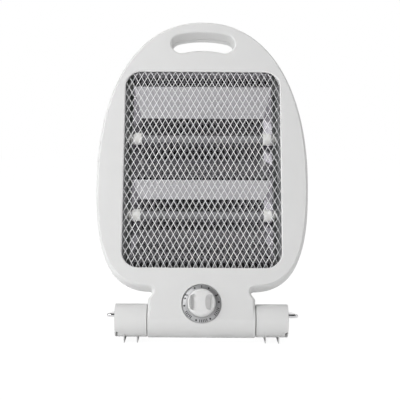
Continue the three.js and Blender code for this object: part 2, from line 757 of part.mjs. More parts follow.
function tubeBracket(side) {
  const outer = WINDOW_HALF + GUARD_SEAT + FLANGE;
  const angle = [
    point(BRACKET_X, REFLECTOR_FRONT),
    point(outer, REFLECTOR_FRONT),
    point(outer, REFLECTOR_FRONT + SHEET),
    point(BRACKET_X + SHEET, REFLECTOR_FRONT + SHEET),
    point(BRACKET_X + SHEET, REFLECTOR_BACK),
    point(BRACKET_X, REFLECTOR_BACK),
  ];
  const [low, high] = [atShare(LOWER_TROUGH.low), atShare(UPPER_TROUGH.high)];
  const bent = plate(angle, high - low).translate(0, 0, low).scale(side, 1, 1);
  return cut(solidOf(bent), ...capHoles());
}

const quartzTube = (z) =>
  turnX(tube(TUBE_RADIUS, TUBE_RADIUS - TUBE_WALL, -TUBE_HALF, TUBE_HALF), TUBE_Y, z);

const TUBE_STOP = TUBE_HALF + GAP;

const ceramicCap = (z, side) =>
  turnX(
    [
      [0, side * TUBE_STOP],
      [TUBE_RADIUS + GAP, side * TUBE_STOP],
      [TUBE_RADIUS + GAP, side * CAP_IN],
      [CAP_RADIUS, side * CAP_IN],
      [CAP_RADIUS, side * (TUBE_STOP + CAP_FLOOR)],
      [CAP_NECK, side * (TUBE_STOP + CAP_FLOOR + CAP_RADIUS - CAP_NECK)],
      [CAP_NECK, side * CAP_OUT],
      [0, side * CAP_OUT],
    ],
    TUBE_Y,
    z,
  );

// One unbroken wire: straight tails on the tube's axis and a helix between them.
function coilPath() {
  const pitch = (2 * COIL_HALF) / COIL_CURLS;
  const path = [new THREE.Vector3(-TUBE_HALF, 0, 0)];
  const turns = COIL_CURLS * CURL_STEPS;
  path.push(new THREE.Vector3(-COIL_HALF - pitch / 2, 0, 0));
  for (let i = 0; i <= turns; i++) {
    const angle = (2 * Math.PI * i) / CURL_STEPS;
    const x = -COIL_HALF + (pitch * i) / CURL_STEPS;
    path.push(new THREE.Vector3(x, COIL_RADIUS * Math.cos(angle), COIL_RADIUS * Math.sin(angle)));
  }
  path.push(new THREE.Vector3(COIL_HALF + pitch / 2, 0, 0));
  path.push(new THREE.Vector3(TUBE_HALF, 0, 0));
  return path;
}

// Least distance between the surfaces of a wound wire's turns.
function leastGap(path, radius, apart) {
  let least = Infinity;
  path.forEach((a, i) => {
    for (let j = i + apart; j < path.length; j++) least = Math.min(least, a.distanceTo(path[j]));
  });
  return least - 2 * radius;
}

const COIL = coilPath();
const COIL_GAP = leastGap(COIL, COIL_WIRE, CURL_STEPS - 1);
console.log(`least gap between the coil's turns: ${COIL_GAP.toFixed(2)} mm`);

function heatingCoil(z) {
  const path = COIL.map((p) => p.clone().add(new THREE.Vector3(0, TUBE_Y, z)));
  return sweep(path, COIL_WIRE, 5);
}

// A shallow channel between the reflector and the rear shell, its lips on the brackets.
function heatShield() {
  const half = BRACKET_X + 2 * SHEET;
  const back = INNER_REAR - GAP;
  const lip = REFLECTOR_BACK + GAP;
  const channel = [
    point(-half, lip),
    point(-half + SHEET, lip),
    point(-half + SHEET, back - SHEET),
    point(half - SHEET, back - SHEET),
    point(half - SHEET, lip),
    point(half, lip),
    point(half, back),
    point(-half, back),
  ];
  return runZ(channel, atShare(LOWER_TROUGH.low), atShare(UPPER_TROUGH.high));
}

const LEAD_X = CAP_OUT + LEAD_RUN;
const TERMINAL_END = SIDE_ROOM - NECK_HALF;
const lead = (corners) =>
  sweep(roundedPath(corners.map((c) => new THREE.Vector3(...c)), LEAD_BEND, 2), LEAD_RADIUS, 6);

const jumperLead = () =>
  lead([
    [CAP_OUT + GAP, TUBE_Y, TUBES.upper],
    [LEAD_X, TUBE_Y, TUBES.upper],
    [LEAD_X, TUBE_Y, TUBES.lower],
    [CAP_OUT + GAP, TUBE_Y, TUBES.lower],
  ]);

// A lead from a left cap down beside the reflector to the top of the terminal block.
const feedLead = (z, lane, endX) =>
  lead([
    [-CAP_OUT - GAP, TUBE_Y, z],
    [-LEAD_X, TUBE_Y, z],
    [-LEAD_X, TUBE_Y + lane, z - 3 * LEAD_BEND],
    [-LEAD_X, TUBE_Y + lane, atShare(LOWER_TROUGH.low) + LEAD_RUN],
    [-NECK_HALF, TUBE_Y + lane, UNDERSIDE_Z + 3 * LEAD_BEND],
    [endX, TUBE_Y + lane, TERMINAL.high + 4 * LEAD_BEND],
    [endX, INNER_FRONT + TERMINAL.depth / 2, TERMINAL.high + 3 * LEAD_BEND],
    [endX, INNER_FRONT + TERMINAL.depth / 2, TERMINAL.high + GAP],
  ]);

// ---------------------------------------------------------------- dial, knob and switches

const DIAL_FACE = FRONT + DIAL_RECESS;
const DIAL_BACK = INNER_FRONT + GAP + DIAL_FLANGE_THICK;
const KNOB_BACK = DIAL_FACE - GAP;
const KNOB_FRONT = KNOB_BACK - KNOB_HEIGHT;
const SHAFT_FRONT = KNOB_FRONT + KNOB_FACE;
const SWITCH_FRONT = DIAL_BACK + GAP;
const SHAFT_BACK = SWITCH_FRONT + SWITCH_SIZE.y / 2;

const dialPlate = () =>
  turnY(
    [
      [DIAL_BORE, DIAL_FACE],
      [DIAL_RADIUS, DIAL_FACE],
      [DIAL_RADIUS, INNER_FRONT + GAP],
      [DIAL_RADIUS + DIAL_FLANGE, INNER_FRONT + GAP],
      [DIAL_RADIUS + DIAL_FLANGE, DIAL_BACK],
      [DIAL_BORE, DIAL_BACK],
      [DIAL_BORE, DIAL_FACE],
    ],
    0,
    DIAL_Z,
    FINE_ROUND,
  );

// Round cap with a grip bar left standing between two finger scoops.
function controlKnob() {
  const rim = Array.from({ length: EDGE_STEPS }, (_, i) => {
    const angle = (Math.PI / 2) * (i / (EDGE_STEPS - 1));
    return [
      KNOB_RADIUS - KNOB_EDGE * (1 - Math.sin(angle)),
      KNOB_FRONT + KNOB_EDGE * (1 - Math.cos(angle)),
    ];
  });
  const cap = turnY(
    [
      [0, KNOB_FRONT],
      ...rim,
      [KNOB_RADIUS, KNOB_BACK],
      [DIAL_BORE - 2 * GAP, KNOB_BACK],
      [DIAL_BORE - 2 * GAP, INNER_FRONT],
      [0, INNER_FRONT],
    ],
    0,
    DIAL_Z,
    FINE_ROUND,
  );
  const scoops = [-1, 1].map((side) => {
    const scoop = new THREE.SphereGeometry(1, ROUND, 10);
    scoop.scale(SCOOP.halfX, SCOOP.halfY, SCOOP.halfZ);
    return solidOf(scoop.translate(side * SCOOP.x, KNOB_FRONT, DIAL_Z));
  });
  const socket = turnY(rod(SHAFT_RADIUS + GAP, SHAFT_FRONT - GAP, INNER_FRONT + CUT), 0, DIAL_Z);
  return cut(cap, ...scoops, socket);
}

const switchShaft = () => turnY(rod(SHAFT_RADIUS, SHAFT_FRONT, SHAFT_BACK), 0, DIAL_Z);

function rotarySwitch() {
  const { x, y, z } = SWITCH_SIZE;
  const back = SWITCH_FRONT + y;
  const body = block(-x / 2, x / 2, SWITCH_FRONT, back, DIAL_Z - z / 2, DIAL_Z + z / 2);
  const blades = [-1, 1].flatMap((side) =>
    [-1, 1].map((row) => {
      const blade = new THREE.BoxGeometry(2 * BLADE.halfX, BLADE.length + CUT, 2 * BLADE.halfZ);
      const middle = back + (BLADE.length - CUT) / 2;
      return solidOf(blade.translate(side * BLADE.x, middle, DIAL_Z + row * BLADE.z));
    }),
  );
  const bore = turnY(rod(SHAFT_RADIUS + GAP, SWITCH_FRONT - CUT, SHAFT_BACK + GAP), 0, DIAL_Z);
  return cut(join([body, ...blades]), bore);
}

// Open cradle in which a weight hangs, and swings away from its contact when the heater tips.
function tiltCradle() {
  const front = INNER_FRONT + GAP;
  const [x0, x1] = [TILT_X - TILT_WIDTH / 2, TILT_X + TILT_WIDTH / 2];
  return cut(
    block(x0, x1, front, front + TILT_DEPTH, TILT_LOW_Z, TILT_HIGH_Z),
    block(
      x0 + TILT_WALL,
      x1 - TILT_WALL,
      front + TILT_WALL,
      front + TILT_DEPTH + CUT,
      TILT_LOW_Z + TILT_WALL,
      TILT_HIGH_Z + CUT,
    ),
    turnX(rod(TILT_PIN.radius + GAP, x0 - CUT, x1 + CUT), TILT_PIN.y, TILT_PIN.z, SMALL_ROUND),
  );
}

function tiltWeight() {
  const half = TILT_WIDTH / 2;
  const room = half - TILT_WALL - 2 * GAP;
  const bob = rod(TILT_WEIGHT_RADIUS, -room, room);
  return join([
    turnX(rod(TILT_PIN.radius, -half, half), 0, 0, SMALL_ROUND),
    block(-TILT_WALL, TILT_WALL, -TILT_WALL, TILT_WALL, -TILT_ARM, 0),
    turnX(bob, 0, -TILT_ARM),
  ]);
}

function terminalBlock() {
  const front = INNER_FRONT + GAP;
  const { width, depth, low, high } = TERMINAL;
  const well = rod(TERMINAL_WELL, front + depth / 2, front + depth + CUT);
  const wells = [0.5, 1.5, 2.5].map((place) =>
    turnY(well, TERMINAL_END + (width * place) / 3, (low + high) / 2, SMALL_ROUND),
  );
  const body = block(TERMINAL_END, TERMINAL_END + width, front, front + depth, low, high);
  return cut(body, ...wells);
}

function cordGland() {
  const { x, z, radius, flange, bore, proud } = GLAND;
  const inside = INNER_REAR - GAP;
  const outside = REAR + GAP;
  const profile = [
    [bore, inside - WALL],
    [radius + 2 * GAP, inside - WALL],
    [radius + WALL / 2, inside],
    [radius, inside],
    [radius, outside],
    [flange, outside],
    [flange, outside + WALL / 2],
    [radius, outside + WALL],
    [radius, outside + proud],
    [bore, outside + proud],
    [bore, inside - WALL],
  ];
  return turnY(profile, x, z);
}

// ---------------------------------------------------------------- stand

const FOOT_INNER = NECK_HALF + FOOT_GAP;
const FOOT_OUTER = FOOT_INNER + FOOT_LENGTH;
const SPIGOT_END = FOOT_INNER - SPIGOT_REACH;
const mirrored = (solid, side) =>
  side > 0 ? solid : solidOf(geometryOf(solid).toNonIndexed().scale(-1, 1, 1));

// Side profile of a foot: a round hub that runs out into a flat tongue along the floor.
function footProfile() {
  const start = -Math.PI / 12;
  const hub = [];
  for (let i = 0; i <= FOOT_STEPS; i++) {
    const angle = start + ((1.5 * Math.PI - start) * i) / FOOT_STEPS;
    hub.push(new THREE.Vector2(FOOT_RADIUS * Math.cos(angle), FOOT_RADIUS * Math.sin(angle)));
  }
  const tip = new THREE.Vector2(TONGUE_END_Y, TONGUE_TIP - FOOT_RADIUS);
  const blend = new THREE.QuadraticBezierCurve(
    tip,
    new THREE.Vector2(FOOT_RADIUS, TONGUE_TIP + CUT - FOOT_RADIUS),
    hub[0],
  );
  return [
    ...hub,
    new THREE.Vector2(TONGUE_END_Y, -FOOT_RADIUS),
    ...blend.getPoints(5).slice(0, -1),
  ];
}

function foot(side) {
  const ribs = RIB_SHARES.map((share) => {
    const x = FOOT_INNER + share * FOOT_LENGTH;
    const web = [
      [RIB_FRONT_Y, -HINGE_HEIGHT],
      [TONGUE_END_Y, -HINGE_HEIGHT],
      [TONGUE_END_Y, RIB_ROOT - FOOT_RADIUS],
      [0, RIB_ROOT - FOOT_RADIUS],
      [RIB_FRONT_Y, -FOOT_RADIUS / 2],
    ].map(([y, z]) => new THREE.Vector2(y, z));
    return runX(web, x - RIB_THICK / 2, x + RIB_THICK / 2);
  });
  const wireSocket = turnX(
    rod(WIRE_RADIUS + GAP, FOOT_OUTER - WIRE_SEAT, FOOT_OUTER + CUT),
    WIRE_START.y,
    WIRE_START.z,
    SMALL_ROUND,
  );
  const spigot = turnX(rod(SPIGOT_RADIUS, SPIGOT_END, FOOT_INNER + CUT), 0, 0, FINE_ROUND);
  const pilot = rod(SCREW_RADIUS + GAP, SPIGOT_END - CUT, SPIGOT_END + SCREW_BITE + GAP);
  const body = runX(footProfile(), FOOT_INNER, FOOT_OUTER, FOOT_BEVEL);
  const solid = cut(join([body, spigot, ...ribs]), wireSocket, turnX(pilot, 0, 0, SMALL_ROUND));
  return mirrored(solid, side);
}

function wireStand() {
  const armX = FOOT_OUTER + WIRE_OUT;
  const floor = WIRE_RADIUS - HINGE_HEIGHT;
  const startX = FOOT_OUTER - WIRE_SEAT + GAP;
  const { y, z } = WIRE_START;
  const arm = (side) => [
    new THREE.Vector3(side * startX, y, z),
    new THREE.Vector3(side * armX, y, z),
    new THREE.Vector3(side * armX, LOOP_LENGTH, floor),
  ];
  const corners = [...arm(-1), ...arm(1).reverse()];
  const reaches = [0, WIRE_BEND, LOOP_BEND, LOOP_BEND, WIRE_BEND, 0];
  return sweep(roundedPath(corners, reaches, 4), WIRE_RADIUS, 10);
}

const WASHER_RADIUS = SPIGOT_RADIUS + WASHER.margin;

function hingeBush(side) {
  const outer = NECK_HALF - NECK_STEP - WALL - GAP;
  return mirrored(turnX(tube(WASHER_RADIUS, SPIGOT_RADIUS + GAP, SPIGOT_END, outer), 0, 0), side);
}

function hingeWasher(side) {
  const outer = SPIGOT_END - GAP;
  const ring = tube(WASHER_RADIUS, SCREW_RADIUS + GAP, outer - WASHER.thick, outer);
  return mirrored(turnX(ring, 0, 0), side);
}

// A pan-head screw along an axis: the head's underside and the shank's end, in that order.
function screwProfile(under, end) {
  const way = Math.sign(under - end);
  return [
    [0, end],
    [SCREW_RADIUS, end],
    [SCREW_RADIUS, under],
    [SCREW_HEAD.radius, under],
    [SCREW_HEAD.radius, under + (way * SCREW_HEAD.height) / 2],
    [SCREW_HEAD.crown, under + way * SCREW_HEAD.height],
    [0, under + way * SCREW_HEAD.height],
  ];
}

function hingeScrew(side) {
  const under = SPIGOT_END - WASHER.thick - 2 * GAP;
  return mirrored(turnX(screwProfile(under, SPIGOT_END + SCREW_BITE), 0, 0, SMALL_ROUND), side);
}

const caseScrew = ([x, z]) =>
  turnY(screwProfile(REAR - SCREW_HEAD.height, FRONT_SEAM - SCREW_BITE), x, z, SMALL_ROUND);
const reflectorScrew = ([x, z]) =>
  turnY(screwProfile(REFLECTOR_FRONT + SHEET + GAP, FLANGE_END - SCREW_BITE), x, z, SMALL_ROUND);

// ---------------------------------------------------------------- assembly

const radians = THREE.MathUtils.degToRad(LEAN);

const housing = new THREE.Group();
housing.position.z = HINGE_HEIGHT;
housing.rotation.x = -radians;
housing.add(
  piece("front_shell", frontShell(), WHITE_PLASTIC),
  piece("rear_shell", rearShell(), WHITE_PLASTIC),
  piece("guard_mesh", guardMesh(), CHROME),
  piece("reflector", reflector(), MIRROR_SHEET),
  piece("heat_shield", heatShield(), STEEL),
  piece("right_jumper_lead", jumperLead(), SLEEVE),
  piece("upper_feed_lead", feedLead(TUBES.upper, -LEAD_LANE, TERMINAL_END + LEAD_LANE), SLEEVE),
  piece(
    "lower_feed_lead",
    feedLead(TUBES.lower, 0, TERMINAL_END + TERMINAL.width - LEAD_LANE),
    SLEEVE,
  ),
  piece("dial_plate", dialPlate(), GREY_PLASTIC),
  piece("control_knob", controlKnob(), WHITE_PLASTIC),
  piece("switch_shaft", switchShaft(), STEEL),
  piece("rotary_switch", rotarySwitch(), BLACK_PLASTIC),
  piece("tilt_switch_cradle", tiltCradle(), BLACK_PLASTIC),
  piece("terminal_block", terminalBlock(), WHITE_PLASTIC),
  piece("cord_gland", cordGland(), WHITE_PLASTIC),
);
for (const [level, z] of Object.entries(TUBES)) {
  housing.add(
    piece(`${level}_quartz_tube`, quartzTube(z), QUARTZ),
    piece(`${level}_heating_coil`, heatingCoil(z), HEATING_WIRE),
    piece(`${level}_left_cap`, ceramicCap(z, -1), CERAMIC),
    piece(`${level}_right_cap`, ceramicCap(z, 1), CERAMIC),
  );
}
CASE_SCREW_SPOTS.forEach((spot, i) => {
  housing.add(piece(`case_screw_${i + 1}`, caseScrew(spot), STEEL));
});
REFLECTOR_SCREW_SPOTS.forEach((spot, i) => {
  housing.add(piece(`reflector_screw_${i + 1}`, reflectorScrew(spot), STEEL));
});

// The weight hangs plumb, whatever the housing's lean.
const tiltHinge = new THREE.Group();
tiltHinge.position.set(TILT_X, TILT_PIN.y, TILT_PIN.z);
tiltHinge.rotation.x = radians;
tiltHinge.add(piece("tilt_switch_weight", tiltWeight(), STEEL));
housing.add(tiltHinge);

const stand = new THREE.Group();
stand.position.z = HINGE_HEIGHT;
stand.add(piece("wire_stand", wireStand(), CHROME));
for (const [name, side] of [
  ["left", -1],
  ["right", 1],
]) {
  housing.add(
    piece(`${name}_reflector_end`, reflectorEnd(side), MIRROR_SHEET),
    piece(`${name}_tube_bracket`, tubeBracket(side), STEEL),
    piece(`${name}_hinge_bush`, hingeBush(side), GREY_PLASTIC),
  );
  stand.add(
    piece(`${name}_foot`, foot(side), WHITE_PLASTIC),
    piece(`${name}_hinge_washer`, hingeWasher(side), STEEL),
    piece(`${name}_hinge_screw`, hingeScrew(side), STEEL),
  );
}

const heater = new THREE.Group();
heater.add(housing, stand);
heater.updateMatrixWorld(true);
const bounds = new THREE.Box3().setFromObject(heater, true);
const middle = bounds.getCenter(new THREE.Vector3());
heater.position.set(-middle.x, -middle.y, -bounds.min.z);

export default heater;
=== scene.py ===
"""Looks of the halogen heater: finer shells, guard, tubes, dial, knob and stand around the fixed frame.

Lengths are in millimetres. Housing points are (x, y, z) about the hinge axis with the housing upright,
and stand points are (x, y, z) about the same axis. Outlines are (x, z) points.
"""

import math

import bmesh
import bpy
from mathutils import Matrix, Vector

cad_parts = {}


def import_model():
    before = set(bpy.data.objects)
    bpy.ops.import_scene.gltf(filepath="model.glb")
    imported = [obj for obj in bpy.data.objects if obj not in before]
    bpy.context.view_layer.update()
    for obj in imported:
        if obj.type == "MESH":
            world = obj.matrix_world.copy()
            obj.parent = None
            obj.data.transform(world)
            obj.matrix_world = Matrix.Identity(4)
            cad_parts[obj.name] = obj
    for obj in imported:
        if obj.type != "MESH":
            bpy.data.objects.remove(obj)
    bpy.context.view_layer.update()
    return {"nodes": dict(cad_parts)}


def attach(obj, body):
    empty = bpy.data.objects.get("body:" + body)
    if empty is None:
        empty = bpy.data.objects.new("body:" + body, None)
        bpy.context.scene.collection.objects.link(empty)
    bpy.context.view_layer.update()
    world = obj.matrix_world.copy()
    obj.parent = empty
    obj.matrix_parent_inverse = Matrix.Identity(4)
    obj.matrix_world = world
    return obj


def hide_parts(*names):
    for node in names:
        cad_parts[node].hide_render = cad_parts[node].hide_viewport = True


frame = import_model()
nodes = frame["nodes"]

# ---------------------------------------------------------------- sizes

MM = 0.001
GAP = 0.3  # between pieces, and past a face that two forms share
WALL = 2.2
CUT = 1.0  # how far a cutting tool runs past what it cuts
FAR = 5  # the same for a tool that takes off all of one side
LEAN = math.radians(20.5)
FLOOR_Z = -25  # below the hinge axis
HINGE = Vector((0, -62.63, -FLOOR_Z))

# Housing outline, heights measured from the hinge axis
HALF_WIDTH = 125
WIDEST_Z = 170.5
TOP_Z = 366.5
CROWN_REACH = 88  # pull of the outline along the crown
SHOULDER_Z = 268  # pull of the outline above its widest point
FLANK_Z = 102  # pull of the outline below its widest point
CHIN = (120.2, 36.9)  # pull of the outline along its underside
UNDERSIDE_Z = 34.5
NECK_HALF = 61.8
NECK_WAIST = 57  # half width where the neck meets the underside
WAIST_LOW_Z = 21
WAIST_PULL_ZS = (25, 26)
WAIST_Z = 30.4
NECK_FILLET = 6
FILLET_PULL = (2.3, 33.3)  # out from the waist, and up
NECK_RADIUS = 19.8  # round foot of the neck, about the hinge axis
NECK_SOFT = 1.2  # rounding of its ends
WAIST_STEPS = 10
FLANK_STEPS = 36
CROWN_STEPS = 44

# Housing depth
FRONT = -NECK_RADIUS
REAR = 14.2
SEAM = 2.7  # where the shells meet
INNER_FRONT = FRONT + WALL
INNER_REAR = REAR - WALL
# The crisp front edge and the drafted sides, as (in from the outline, back from the face)
FRONT_PROFILE = [(3.7, 0), (3.25, 0.12), (2.9, 0.5), (2.1, 1.7), (1.2, 3.4), (0.55, 5.4), (0.15, 8), (0, 11)]
GROOVE = 0.8  # depth of the groove where the shells meet
GROOVE_PROFILE = ((0, -0.9), (1, -0.35), (1, 0.35), (0, 0.9))  # (share of its depth, along y)
REAR_EDGE = 8
EDGE_STEPS = 6

# Carry slot
SLOT_HALF = 38.2
SLOT_HEIGHT = 23.8
SLOT_TOP_Z = 351.3
SLOT_ARCH = 3  # rise of the slot's middle over its ends
SLOT_RIM = 3
SLOT_STEPS = 16

# Window and the seats behind it
WINDOW_HALF = 92.6
WINDOW_LOW_Z = 58.2
WINDOW_HIGH_Z = 299.8
WINDOW_MIDDLE_Z = (WINDOW_LOW_Z + WINDOW_HIGH_Z) / 2
WINDOW_HALF_HEIGHT = (WINDOW_HIGH_Z - WINDOW_LOW_Z) / 2
WINDOW_CORNER = 19
WINDOW_LIP = 1.8  # rounding of its edge
LIP_STEPS = 5
GUARD_SEAT = 4.3  # room round the guard, past the window's edge
FLANGE = 2
FLANGE_END = INNER_FRONT + 8.6
DIAL_LIP = 0.8
DIAL_WELL = (24, 2.1)  # radius and depth of the room behind the dial's seat
HINGE_BORE = 10.3

# Case screws, vents and the gland's hole
SCREW_PLACES = ((60, 319), (106.5, 229.7), (106.5, 130), (49, 26))
CASE_SCREWS = [(side * x, z) for x, z in SCREW_PLACES for side in (1, -1)]
FRONT_BOSS = 4
REAR_BOSS = 5.9
PILOT_RADIUS = 1.9
PILOT_DEPTH = 7.5  # ahead of the seam
SCREW_SEAT = (3.7, 2.2)  # radius and depth
SCREW_TOP = REAR - 0.1
SCREW_PROFILE = [(0, SEAM - 7.1), (1.2, SEAM - 7.1), (1.6, SEAM - 6.4), (1.6, REAR - 1.9), (3.4, REAR - 1.9),
                 (3.4, REAR - 1.1), (3.1, REAR - 0.5), (2.4, SCREW_TOP), (0, SCREW_TOP)]
CROSS = (1.8, 0.35, 1.4)  # half length, half breadth and depth of a screw's recess
VENT_TOPS = (278, 110)
VENT_ROWS = 4
VENT_PITCH = 10
VENT_X = 38
VENT_REACH = 31  # from a vent's middle to the centres of its round ends
VENT_RADIUS = 2
VENT_FLARE = (0.7, 1.35, 0.8)  # added half length, height ratio and depth
GLAND = (6.5, -28, 28)  # radius and place of its hole

# Guard
MESH_PITCH_X = 7.4
MESH_PITCH_Z = 13.5
SLANT = math.atan(MESH_PITCH_X / MESH_PITCH_Z)
STRAND_SPARE = 20  # length tried past the window's corners
STRAND_RADIUS = 0.39
LAYER_YS = (-17, -16.1)
PAN_SHIFT = (-2.2, 3)  # the guard sits a little left and high behind the window
PAN_EDGE = 3.6  # breadth of its bent border
PAN_SLOPE = 0.9
PAN_DEPTH = 5
PAN_REACH = 3  # of the strands past the window's edge
RIM_OUTSETS = (2.6, 4)
RIM_YS = (-14.6, -11.2)

# Tubes: lengths are from the middle
TUBE_ZS = {"upper": 220.5, "lower": 125.5}
TUBE_RADIUS = 4.6
TUBE_BORE = 3.7
TUBE_EDGE = 0.3
TUBE_HALF = 82
COIL_HALF = 70
COIL_RADIUS = 2.3
COIL_WIRE = 0.36
COIL_TURNS = 70
TURN_STEPS = 12
COIL_TAILS = (1.5, 0.5)  # from the coil to the straight wire, and from its end to the tube's
# (radius, distance from the middle)
CAP_PROFILE = [(0, 82.3), (4.9, 82.3), (4.9, 73.3), (5.3, 72.8), (6.7, 72.8), (7.1, 73.2), (7.1, 84.7),
               (6.7, 85.2), (4, 87.3), (4, 95.7), (3.7, 96), (0, 96)]

# Dial and knob
DIAL_Z = 16
KNOB_RADIUS = 16
DIAL_RADIUS = 22.5
DIAL_FACE = FRONT + 1.4
DIAL_BORE = 5
DIAL_FLANGE = 23.7
DIAL_BACK = -15.8
RING_INSIDE = KNOB_RADIUS + 0.4
RING_SOFT = (0.3, 0.2)  # rounding of its inner and outer edge
RING_RADII = (16.7, 17.7, 18.7, 19.7, 20.6, 21.4, 22.1)
RING_RISE = 1.0  # of its inner edge over the dial's face
RING_FALL = 1.9  # from the inner edge to the outer
RING_CURVE = 1.6
MARK_RADIUS = 19.9
MARK_SPAN = (-0.14, 0.1)  # from in front of the ring's face to behind it
DOT_ANGLES = (24, 84, 150, 198, 263, 288, 336)
DOT_RADIUS = 1.1
SCALE_ANGLES = (117, 174, 230)
TICK_ANGLES = (-12, -6, 0, 6, 12)
TICK = [(-1.6, -0.46), (-1.6, 0.46), (1.4, 0.46), (1.4, -0.46)]
FIGURES = {-60: "0", 0: "1", 60: "2"}
FIGURE_SIZE = 4.4
FIGURE_WEIGHT = 0.18  # added to the strokes
FIGURE_DEPTH = 0.12
FIGURE_RISE = 0.05  # of their middle, in front of the ring's face
KNOB_BACK = DIAL_FACE - GAP
KNOB_FRONT = KNOB_BACK - 11
KNOB_EDGE = 3.6
KNOB_STEPS = 10
KNOB_BEVEL = 0.3
KNOB_STEM = 4.4
SHAFT_BORE = (3.3, 4.1)  # radius and depth below the face
SCOOP_DEPTH = 8
SCOOP_NEAR = (4, 5.8)  # at the face, and how far it moves out at the bottom
SCOOP_FAR = (14, 3)  # at the face, and how far it moves in at the bottom
SCOOP_HALF = (9.2, 3)  # the same for half its length
SCOOP_LEVELS = 10
SCOOP_POINTS = 40
SCOOP_POWER = 0.8  # 1 is an ellipse, less is squarer

# Stand
FOOT_INNER = 62.5
FOOT_OUTER = 99.5
FOOT_RADIUS = 19
FOOT_BEVEL = ((1.0, 0), (0.3, 0.3), (0, 1.0))  # (in from the outline, from the end)
FOOT_START = -math.pi / 12  # where the round of the hub leaves the tongue
FOOT_STEPS = 72
TONGUE_END_Y = 50
TONGUE_TIP = 3  # its thickness at the end
TONGUE_PULL = 4  # pull of its upper side towards the hub, over its underside
SPIGOT_PROFILE = [(0, 54), (9.4, 54), (10, 54.6), (10, 63.5), (0, 63.5)]
FOOT_PILOT = (53, 61.3)  # from and to, along x
RIB_XS = (73.6, 88.77)
RIB_THICK = 1.2
RIB_FRONT_YS = (-8, -15.6)  # where a rib's front edge meets the floor, and the hub
RIB_TOP = 1  # how far a rib runs up into the tongue
RIB_PROFILE = ((0.3, -1), (0, -0.7), (0, 0.7), (0.3, 1))  # (in from the outline, share of half its thickness)
NOTCH = ((-3.6, -1.2), -3, (-19.6, -10.8))  # along x from the hub's end, back to y, and along z
WIRE_RADIUS = 2.25
WIRE_SOCKET = (2.55, 88.2, 101)  # radius, and from and to along x
WIRE_END_X = 89  # of its ends in the hubs
WIRE_EXIT_Z = 4.6
WIRE_START = (7, 4.2)  # (y, z) of the arms' front ends
WIRE_BEND = (106, -10.8)  # (y, z) where the arms bend towards the floor
WIRE_ARM_XS = (107.9, 110.4)
WIRE_BENDS = (0, 4, 20, 16)  # how far each bend reaches along the wire
LOOP_LENGTH = 149.9  # y of the bar behind

UPRIGHT = Matrix.Translation(HINGE * MM) @ Matrix.Scale(MM, 4)
LEANING = Matrix.Translation(HINGE * MM) @ Matrix.Rotation(-LEAN, 4, "X") @ Matrix.Scale(MM, 4)

# ---------------------------------------------------------------- materials


def node(tree, kind, **values):
    """A shader node with the given socket values."""
    made = tree.nodes.new(kind)
    for socket, value in values.items():
        made.inputs[socket.replace("_", " ")].default_value = value
    return made


def surface(name, color, rough, *, spread=0.03, rough_spread=0.06, scale=60, bump=0.05, grain=900,
            stretch=(1, 1, 1), **sockets):
    """A shader whose colour, roughness and relief vary with noise of the given scales (per metre)."""
    material = bpy.data.materials.new(name)
    material.use_nodes = True
    tree = material.node_tree
    shader = tree.nodes["Principled BSDF"]
    for socket, value in sockets.items():
        shader.inputs[socket.replace("_", " ")].default_value = value
    coords = tree.nodes.new("ShaderNodeTexCoord")
    mapping = node(tree, "ShaderNodeMapping", Scale=stretch)
    tree.links.new(coords.outputs["Object"], mapping.inputs["Vector"])

    broad = node(tree, "ShaderNodeTexNoise", Scale=scale, Detail=4)
    fine = node(tree, "ShaderNodeTexNoise", Scale=grain, Detail=3)
    for noise in (broad, fine):
        tree.links.new(mapping.outputs["Vector"], noise.inputs["Vector"])

    tint = tree.nodes.new("ShaderNodeMix")
    tint.data_type = "RGBA"
    tint.inputs["A"].default_value = (*[c * (1 - spread) for c in color], 1)
    tint.inputs["B"].default_value = (*[min(c * (1 + spread), 1) for c in color], 1)
    tree.links.new(broad.outputs["Fac"], tint.inputs["Factor"])
    tree.links.new(tint.outputs["Result"], shader.inputs["Base Color"])

    gloss = node(tree, "ShaderNodeMapRange", To_Min=max(rough - rough_spread, 0), To_Max=rough + rough_spread)
    tree.links.new(fine.outputs["Fac"], gloss.inputs["Value"])
    tree.links.new(gloss.outputs["Result"], shader.inputs["Roughness"])

    relief = node(tree, "ShaderNodeBump", Strength=bump, Distance=0.0002)
    tree.links.new(fine.outputs["Fac"], relief.inputs["Height"])
    tree.links.new(relief.outputs["Normal"], shader.inputs["Normal"])
    return material


WHITE = surface("white_moulding", (0.76, 0.76, 0.757), 0.42, spread=0.012, bump=0.12, grain=1400,
                Specular_IOR_Level=0.45)
KNOB_WHITE = surface("knob_moulding", (0.77, 0.77, 0.767), 0.4, spread=0.012, bump=0.1, grain=1600)
GREY = surface("grey_moulding", (0.47, 0.475, 0.48), 0.5, spread=0.03, bump=0.3, grain=1200)
RING = surface("dial_moulding", (0.62, 0.62, 0.63), 0.42, spread=0.04, bump=0.1, grain=1500, Metallic=0.85)
MARKING = surface("dial_print", (0.012, 0.012, 0.014), 0.6, spread=0.1, bump=0.1)
BLACK = surface("black_moulding", (0.02, 0.02, 0.021), 0.45, spread=0.1, bump=0.3)
MIRROR = surface("rolled_aluminium", (0.57, 0.56, 0.585), 0.15, spread=0.02, rough_spread=0.03, bump=0.01,
                 stretch=(0.08, 1, 1), grain=300, Metallic=1)
ZINC = surface("zinc_plate", (0.55, 0.56, 0.57), 0.36, spread=0.15, rough_spread=0.12, scale=90, Metallic=1)
CHROME = surface("bright_chrome", (0.86, 0.86, 0.87), 0.1, spread=0.02, rough_spread=0.05, Metallic=1)
GUARD = surface("guard_chrome", (0.95, 0.95, 0.955), 0.42, spread=0.03, rough_spread=0.08, Metallic=0.3)
CERAMIC = surface("steatite_body", (0.93, 0.925, 0.9), 0.62, spread=0.04, bump=0.35, grain=1100)
